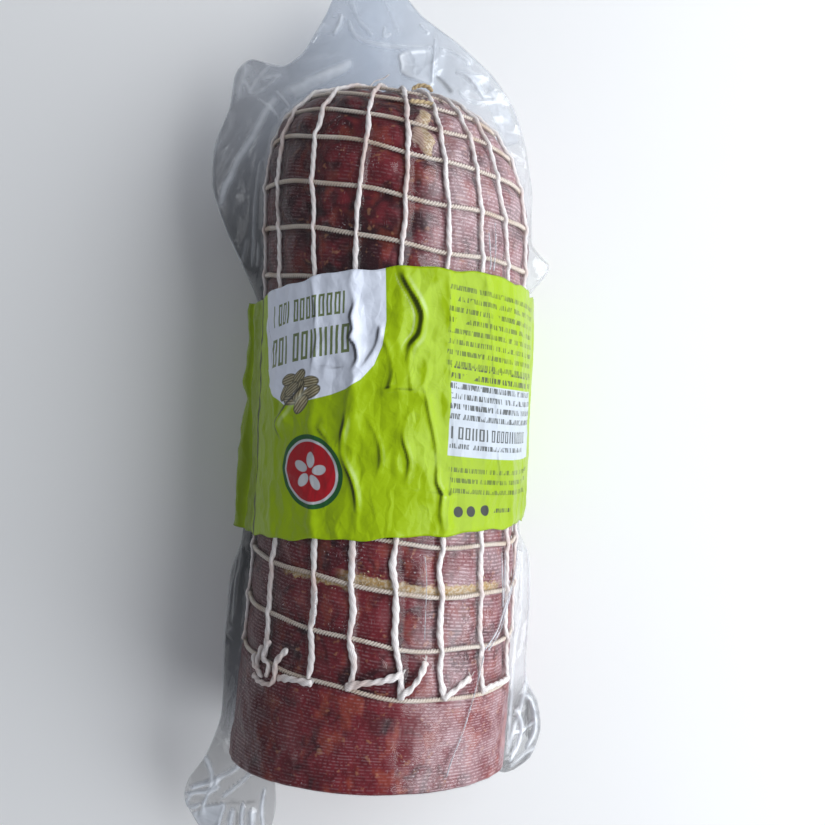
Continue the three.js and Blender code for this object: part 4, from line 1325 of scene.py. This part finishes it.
crease_piece = string_piece("film_creases", crease_strings)
# The creases are milky white: partly the film's whitening, partly a painted highlight
crease_piece.data.materials.append(film_material(
    "creased_film", lambda here: (0.9, 0.9, 0.91, 1.0),
    lambda here: span(noise_at(here, 300), 0.35, 0.65, 0.10, 0.55),
    (0.1, 0.25), 0.16, 0.5, 0.00012))
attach(crease_piece, "root")

# The spare film: at the sides and past both ends of the sausage the two sheets of the bag lie
# together and stand out in fins, ears and pleats. The outline is the bag's, seen from above
# in millimetres.
FILM_EDGE = [
    (-42, -137), (-41, -158), (-45, -174), (-57, -181), (-71, -176), (-80, -160), (-78, -149),
    (-70, -136), (-64, -118), (-64, -90), (-62.5, -60), (-58.4, -46), (-57.2, -20), (-56, 10),
    (-55.4, 42), (-55.6, 49.5), (-60, 59), (-70, 78), (-77, 96), (-76.5, 114), (-71.5, 128), (-70, 143),
    (-64, 149), (-50, 146), (-42, 153), (-35, 169), (-29, 183), (-8, 186), (5, 172), (21, 160),
    (34, 148), (43, 136), (48.5, 122), (53, 100), (54, 79), (61.5, 71), (60, 66), (54.6, 59),
    (53.8, 54), (54, 0), (54.2, -36), (59, -48), (60.5, -66), (60.5, -98), (66, -110),
    (68, -122), (64, -134), (54, -140), (45, -137),
]
EDGE_TENSION = 0.35
EDGE_STATIONS = 3000
FILM_GAP = 0.0009
FILM_TUCK = 0.0022
FILM_ROOT_STEP = 0.00003
FILM_ROOT_LEFT = -0.005
FILM_ROOT_RIGHT = -0.012
FILM_DROOP = 0.45
FILM_DROOP_START = 0.012
FILLET_HEIGHT = 0.0075
FILLET_REACH = 0.0034
SHEET_GAP = 0.0005
SHEETS_PART = 0.0005
FILM_FLAT = 0.0006
CUT_ROOT_REACH = 0.041
ROOT_STEPS = 1200
ROOT_SOFTENING = 60
# Folds of the spare film, seen from above in millimetres: height, half width, whiteness, route. The
# whiteness is a painted highlight, and painted shade where it is below 0
FILM_FOLDS = [
    (0.7, 1.6, 0.95, [(-73.4, 87), (-71.6, 95.5), (-69.6, 99.2), (-66.3, 106.9), (-62.8, 112.4),
                      (-59.9, 117.2), (-55.7, 126.6), (-52, 132.1)]),
    (0.7, 2.0, 0.42, [(-51, 133), (-42.9, 136.8), (-39.1, 139.6), (-33.4, 142.2), (-26.6, 145.9),
                      (-22.6, 148.5)]),
    (0.8, 0.7, 0.45, [(-52.6, 134.9), (-49.7, 132.2), (-45.8, 127.6)]),
    (0.8, 0.7, 0.45, [(-61, 132.9), (-55.8, 129.3), (-52.9, 126.7), (-50.1, 123)]),
    (1.2, 1.2, 0.35, [(-67.2, 147.9), (-66.2, 144.5), (-66.5, 142.2), (-67.7, 137.4), (-67.9, 131.4)]),
    (0.9, 1.0, 0.35, [(-63.7, 133.9), (-60.8, 139.4), (-57.9, 143.4), (-55.7, 146.5)]),
    (0.9, 1.0, 0.30, [(-63.3, 133.2), (-58.3, 135.3), (-51.6, 141)]),
    (0.8, 0.9, 0.30, [(-58.9, 140.2), (-54.9, 141), (-50.5, 141.8)]),
    (0.9, 1.0, 0.30, [(-67.4, 139.4), (-64.9, 137.9), (-63.1, 133.6)]),
    (1.0, 1.6, 0.20, [(-70.5, 126.5), (-70.6, 123.7), (-70.9, 119.4), (-74.9, 113.8), (-78.3, 109.8)]),
    (0.25, 1.0, 0.12, [(-58.2, 131.8), (-67.4, 117.2), (-78.6, 97.3)]),
    (0.2, 0.9, 0.10, [(-56.5, 130.3), (-65.6, 115.5), (-76.6, 95.6)]),
    (0.7, 0.9, 0.30, [(-40.1, 162.1), (-40.3, 157.9), (-38.3, 156.5)]),
    (0.7, 0.9, 0.30, [(-35.2, 165.8), (-37.4, 161.9), (-38, 157.6)]),
    (0.7, 0.9, 0.30, [(-28.1, 170), (-28.7, 165.7), (-30.7, 160.3)]),
    (0.8, 1.1, 0.30, [(-25.4, 168), (-22.6, 161.3), (-17.3, 158.2), (-10.1, 157), (-2.8, 156.6),
                      (6.4, 157.2), (11, 158.6)]),
    (0.8, 1.0, 0.35, [(-2.1, 144.9), (-2.5, 148.9), (-3.4, 152.5), (-0.7, 154.6), (3.9, 155.6),
                      (9.1, 156.1)]),
    (0.8, 0.9, 0.35, [(-2.1, 144.9), (5, 142.6), (10.6, 140.4)]),
    (0.8, 0.8, 0.35, [(10.7, 164.3), (10.6, 155.6), (10.3, 147), (10.3, 140.8)]),
    (0.8, 0.9, 0.30, [(12.1, 157.5), (17.3, 156.7), (22, 154.1), (25.8, 151.3)]),
    (-0.7, 1.1, -0.35, [(11.6, 145.5), (15, 142.4), (18.6, 138.1)]),
    (-0.7, 1.1, -0.35, [(29.7, 143.8), (31.3, 141.5), (33.1, 139.3)]),
    (0.7, 0.9, 0.30, [(20.7, 139.8), (23.9, 136.4), (28.6, 135.1), (36.3, 136.4)]),
    (0.7, 0.9, 0.25, [(3.9, 168), (5.9, 165.9), (8.2, 163.7)]),
    (0.6, 0.8, 0.25, [(-10, 165.9), (-10.2, 160.8), (-7.2, 162.5)]),
    (0.7, 0.9, 0.25, [(19.3, 147.4), (25.4, 145.2), (32.3, 135.9)]),
    (0.6, 1.4, 0.14, [(-25, 178), (-21, 168), (-14, 160)]),
    (0.6, 1.3, 0.14, [(-14, 182), (-8, 172), (-4, 162)]),
    (0.5, 1.4, 0.10, [(-45, 147), (-36, 150), (-26, 152)]),
    (0.8, 0.8, 0.32, [(-56.4, 105.9), (-58.2, 87.7), (-57.9, 63.5)]),
    (0.7, 0.6, 0.30, [(-55.7, 73.4), (-55.6, 63.6)]),
    (0.8, 0.9, 0.26, [(-67.8, 73.2), (-63.4, 64.3)]),
    (0.8, 0.8, 0.26, [(-60.9, 75.3), (-62.7, 65)]),
    (1.0, 1.0, 0.45, [(-71, -136.3), (-68.9, -139.8), (-67.5, -144.6), (-68.1, -151.1)]),
    (0.8, 0.9, 0.40, [(-81, -156.9), (-74.4, -154.6), (-68.4, -153.1), (-64.2, -149.7)]),
    (-0.6, 0.8, -0.20, [(-68.2, -159.8), (-61.8, -158.5), (-48.3, -156.6)]),
    (0.8, 1.0, 0.35, [(-77.1, -155.2), (-79.6, -162.1), (-75.6, -162.4), (-71, -158.8)]),
    (0.8, 1.0, 0.40, [(-62.6, -158.9), (-65.1, -167.1), (-66.4, -173.9)]),
    (1.2, 1.3, 0.45, [(-59, -161), (-60.6, -169), (-59.5, -178)]),
    (1.6, 1.0, 0.60, [(-54.5, -157), (-55.6, -166), (-55, -176)]),
    (-0.7, 0.7, -0.25, [(-57.2, -162), (-57.6, -172)]),
    (1.4, 1.6, 0.50, [(-50.5, -160), (-51.4, -168), (-50, -176)]),
    (1.0, 0.8, 0.50, [(-45.6, -150), (-47, -160), (-46.4, -172)]),
    (1.2, 1.0, 0.45, [(-54, -137), (-60, -143), (-70, -149), (-78, -153)]),
    (0.9, 0.8, 0.35, [(-50, -141), (-56, -148), (-64, -156)]),
    (0.6, 0.6, 0.30, [(-57.6, -47.1), (-58.1, -55.7), (-59.6, -62.9), (-60.3, -79.7)]),
    (0.6, 0.6, 0.30, [(-58.9, -47.6), (-60.3, -59.4), (-61.7, -66.1), (-62.2, -77.4)]),
    (0.4, 1.3, 0.22, [(-62.6, -84.5), (-61.4, -83), (-60.2, -81.1)]),
    (0.6, 0.7, 0.25, [(55.6, -43.2), (56.6, -71.9), (54.5, -87.5), (54.2, -128.1)]),
    (0.6, 0.8, 0.25, [(58.2, -34), (60.5, -71.7), (60.5, -102.3), (53.6, -131.2)]),
    (0.7, 0.8, 0.25, [(54.7, -136.9), (58.8, -133.7), (62.9, -130.9), (68.4, -128.9)]),
    (0.9, 1.0, 0.45, [(61, -106), (64.5, -113), (65.5, -122), (62, -130)]),
    (1.0, 0.8, 0.55, [(57, -112), (59.5, -119), (58.5, -127), (55, -134)]),
    (0.8, 0.7, 0.50, [(56, -122), (61, -121), (66, -117)]),
    (-0.7, 0.7, -0.35, [(62, -108), (61.5, -116), (63, -126)]),
    (0.9, 1.0, 0.50, [(-64, -146), (-70, -155), (-73, -166)]),
    (-0.7, 0.7, -0.25, [(-66, -148), (-72, -158), (-75, -168)]),
]
# Milky patches of the spare film, partly frosted film and partly painted highlight: whiteness and
# outline, seen from above in millimetres
FROST_AND_HIGHLIGHT_PATCHES = [
    (0.62, [(-2.1, 144.9), (-3.4, 152.5), (-0.7, 154.6), (9.1, 156.1), (10.6, 150), (10.3, 140.8)]),
    (0.16, [(12, 157), (25, 151.5), (33, 140), (22, 139), (11.5, 146)]),
    (0.42, [(-70.9, -161.3), (-62.6, -158.5), (-66, -173.9), (-75.6, -174.4), (-77.8, -166.9)]),
    (0.12, [(-68, 148), (-52, 143), (-64, 132), (-72, 134)]),
    (0.30, [(30, 148), (41, 136), (47, 120), (41, 118), (33, 134), (24, 146)]),
    (0.22, [(-46, 136), (-22, 150), (-24, 144), (-44, 131)]),
]
# Colour that one sheet lets through, by its place across: painted shade, darker to the left as the
# light falls off
TINT_AT = [-0.075, -0.015, 0.040]
TINTS = [(0.72, 0.72, 0.73), (0.83, 0.87, 0.93), (0.97, 0.98, 0.99)]
# Tints of one sheet at the foot and at the ear, part of the same painted shade
FOOT_TINT = 0.90
EAR_TINT = 0.62
CLEAREST = 0.98
FILM_FOLD_RISE = 1.0
TAUT_FOLD_RISE = 0.45


def read_line(at, places, line):
    """Points of a flat line at new places, between those that are given."""
    return np.stack([np.interp(at, places, line[:, k]) for k in (0, 1)], axis=-1)


def edge_line():
    rows = smooth_route(np.array(FILM_EDGE) / 1000, 0.02, EDGE_TENSION)
    length = lengths_along(rows)
    return read_line(np.linspace(0.0, length[-1], EDGE_STATIONS + 1), length, rows)


def root_line():
    cut_y = CUT_AT + CUT_LEAN * FILM_ROOT_RIGHT - FILM_GAP
    left = surface_points(CUT_AT, -math.pi / 2, -FILM_GAP)[0]
    right = surface_points(CUT_AT, math.pi / 2, -FILM_GAP)[0]
    share = np.linspace(0.0, 1.0, 12, endpoint=False)
    level = np.full(len(share), cut_y)
    cut_left = np.stack([-CUT_ROOT_REACH + (left + CUT_ROOT_REACH) * share, level], axis=-1)
    cut_right = np.stack([CUT_ROOT_REACH + (right - CUT_ROOT_REACH) * share, level], axis=-1)
    along = CUT_AT + (DOME_TIP - CUT_AT) * np.sin(np.linspace(0.0, math.pi / 2, ROOT_STEPS))
    up_left = surface_points(along, -math.pi / 2, -FILM_GAP)[:, :2]
    down_right = surface_points(along[::-1][1:], math.pi / 2, -FILM_GAP)[:, :2]
    return np.vstack([cut_left, up_left, down_right, cut_right[::-1]])


def root_places(root, edge):
    """The place on the root nearest to each point of the edge, kept in order."""
    length = lengths_along(root)
    nearest = np.array([np.argmin(((root - point) ** 2).sum(axis=1)) for point in edge])
    places = length[nearest]
    places[0] = 0.0
    for i in range(1, len(places)):
        places[i] = max(places[i], places[i - 1] + FILM_ROOT_STEP)
    places[-1] = length[-1]
    for i in range(len(places) - 2, -1, -1):
        places[i] = min(places[i], places[i + 1] - FILM_ROOT_STEP)
    window = np.hanning(2 * ROOT_SOFTENING + 1)
    padded = np.pad(places, ROOT_SOFTENING, mode="edge")
    soft = np.convolve(padded, window / window.sum(), mode="valid")
    return read_line(soft, length, root)


film_edge = edge_line()
film_root = root_places(root_line(), film_edge)


def film_tint(here):
    return add_node(here.tree, "ShaderNodeCombineColor", {
        channel: attribute_of(here.tree, "tint_" + channel.lower())
        for channel in ("Red", "Green", "Blue")})


def film_milk_and_highlight(here):
    patchy = span(noise_at(here, 46, 4, distortion=1.0), 0.35, 0.70, 0.75, 1.35)
    return (patchy * attribute_of(here.tree, "frost")).held()


spare_film = film_material(
    "spare_film", film_tint, film_milk_and_highlight, (0.06, 0.13), 0.065, 0.7, 0.00015, 0.0015)


def spare_film_piece(name, station_from, station_to, columns, rows_above, rows_below):
    """Rows go from the root out over the top sheet, round the edge and back underneath."""
    turn_at = rows_above / (rows_above + rows_below)

    def place(column, row):
        station = station_from + (station_to - station_from) * column
        numbers = np.arange(EDGE_STATIONS + 1)
        outer = read_line(station, numbers, film_edge)
        root = read_line(station, numbers, film_root)
        reach_all = np.linalg.norm(outer - root, axis=1)
        outward = (outer - root) / np.maximum(reach_all, 0.001)[:, None]
        above = row < turn_at
        share = np.where(above, row / turn_at, (1 - row) / (1 - turn_at))
        sheet = np.where(above, 1.0, -1.0)
        tuck = FILM_TUCK * (1 - share) ** 3
        plan = root + (outer - root) * share[:, None] - outward * tuck[:, None]
        reach = share * reach_all
        x, y = plan[:, 0], plan[:, 1]
        side = np.clip((root[:, 0] + RADIUS) / (2 * RADIUS), 0.0, 1.0)
        root_height = AXIS_HEIGHT + FILM_ROOT_LEFT + (FILM_ROOT_RIGHT - FILM_ROOT_LEFT) * side
        droop = FILM_DROOP * reach ** 2 / (reach + FILM_DROOP_START)
        flat = np.stack([x, y, np.zeros(len(x))], axis=-1)
        free = smoothstep(reach, 0.004, 0.020)
        taut = smoothstep(y, 0.055, 0.080) * smoothstep(-x, -0.060, 0.0)
        pleats = 0.0018 * free * (creases(flat, 0.034, 31) ** 2 - 0.4) * (1 - 0.92 * taut)
        crumple = 0.0006 * smoothstep(reach, 0.001, 0.010) * (creases(flat, 0.011, 32) ** 3 - 0.3)
        crumple = crumple * (1 - 0.95 * taut)
        folds = fold_field(x * 1000, y * 1000, [(h, w, r) for h, w, _, r in FILM_FOLDS], "creased")
        taut_left = smoothstep(y, 0.050, 0.080) * smoothstep(-x, 0.030, 0.050)
        folds = folds * (FILM_FOLD_RISE + (TAUT_FOLD_RISE - FILM_FOLD_RISE) * taut_left) / 1000
        folds = folds * smoothstep(reach, 0.0, 0.003) * np.where(above, 1.0, 0.7)
        narrow = 1 - smoothstep(reach_all, 0.009, 0.016)
        tube = 0.0015 * narrow * np.sin(math.pi * np.clip(share, 0, 1)) ** 0.6
        fillet = FILLET_HEIGHT * np.exp(-reach / FILLET_REACH) * (1 - share) ** 0.5
        half = SHEET_GAP * np.minimum(1.0, (1 - share) * 12) + fillet + tube
        half = half + (SHEETS_PART * free * np.abs(lumps(flat, 0.013, 33))
                       * np.minimum(1.0, (1 - share) * 6))
        height = root_height - droop + pleats + crumple + folds + sheet * half
        points = np.stack([x, y, np.maximum(height, FILM_FLAT)], axis=-1)
        frost = fold_field(x * 1000, y * 1000, [(f, w * 0.9, r) for _, w, f, r in FILM_FOLDS])
        for whiteness, outline in FROST_AND_HIGHLIGHT_PATCHES:
            within_patch = smoothstep(outline_distance(x * 1000, y * 1000, outline), -0.8, 1.0)
            frost = frost + whiteness * within_patch
        low_end = np.where(x < 0, smoothstep(-y, 0.112, 0.134), smoothstep(-y, 0.096, 0.112))
        # Painted shade along the dark folds; the rest of the whiteness is painted highlight and
        # frosting, more at the ends
        shade = np.clip(-frost, 0.0, 0.8)
        frost = np.clip(frost * (1 + 0.9 * low_end), 0.0, 1.0)
        in_shadow = (1 - smoothstep(x, -0.050, -0.030)) * (1 - low_end)
        # Painted light in the milk: less in the sausage's shadow, more at the top and at the right, and
        # a painted highlight along the outer edge
        milk_and_painted_highlight = frost * (1 - 0.6 * in_shadow)
        upper = smoothstep(y, 0.060, 0.155) * smoothstep(-x, -0.020, 0.030)
        milk_and_painted_highlight = milk_and_painted_highlight + 0.02 + 0.20 * upper + 0.06 * smoothstep(x, 0.0, 0.04)
        milk_and_painted_highlight = milk_and_painted_highlight + 0.35 * np.exp(-((1 - share) * reach_all / 0.0006) ** 2)
        # Painted shade: a dark stretch of film beside the waist at the left
        painted_shade_waist = 1 - 0.88 * np.exp(-((x + 0.060) / 0.030) ** 2 - ((y + 0.010) / 0.095) ** 2)
        fields = {"frost": np.clip(milk_and_painted_highlight, 0.0, 1.0)}
        for k, channel in enumerate(("red", "green", "blue")):
            tint = np.interp(x, TINT_AT, [tint[k] for tint in TINTS])
            tint = tint + (np.where(x < 0, FOOT_TINT, EAR_TINT) - tint) * low_end
            tint = tint * painted_shade_waist * (1 - shade)
            # Where milky film lies in shadow, the tint clears to let the floor through as a painted
            # highlight
            fields["tint_" + channel] = tint + (CLEAREST - tint) * in_shadow * frost
        return points, plan, fields

    piece = rolled_grid(name, columns, rows_above + rows_below, place, "film")
    finish_mesh(piece, SEAM_GAP)
    piece.data.materials.append(spare_film)
    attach(piece, "root")


left_waist = int(np.argmin(np.abs(film_edge[:, 1] - 0.025) + (film_edge[:, 0] > 0)))
right_waist = int(np.argmin(np.abs(film_edge[:, 1] - 0.025) + (film_edge[:, 0] < 0)))
spare_film_piece("spare_film_foot", 0, left_waist, 520, 60, 26)
spare_film_piece("spare_film_top", left_waist, right_waist, 820, 82, 34)
spare_film_piece("spare_film_right", right_waist, EDGE_STATIONS, 420, 40, 20)
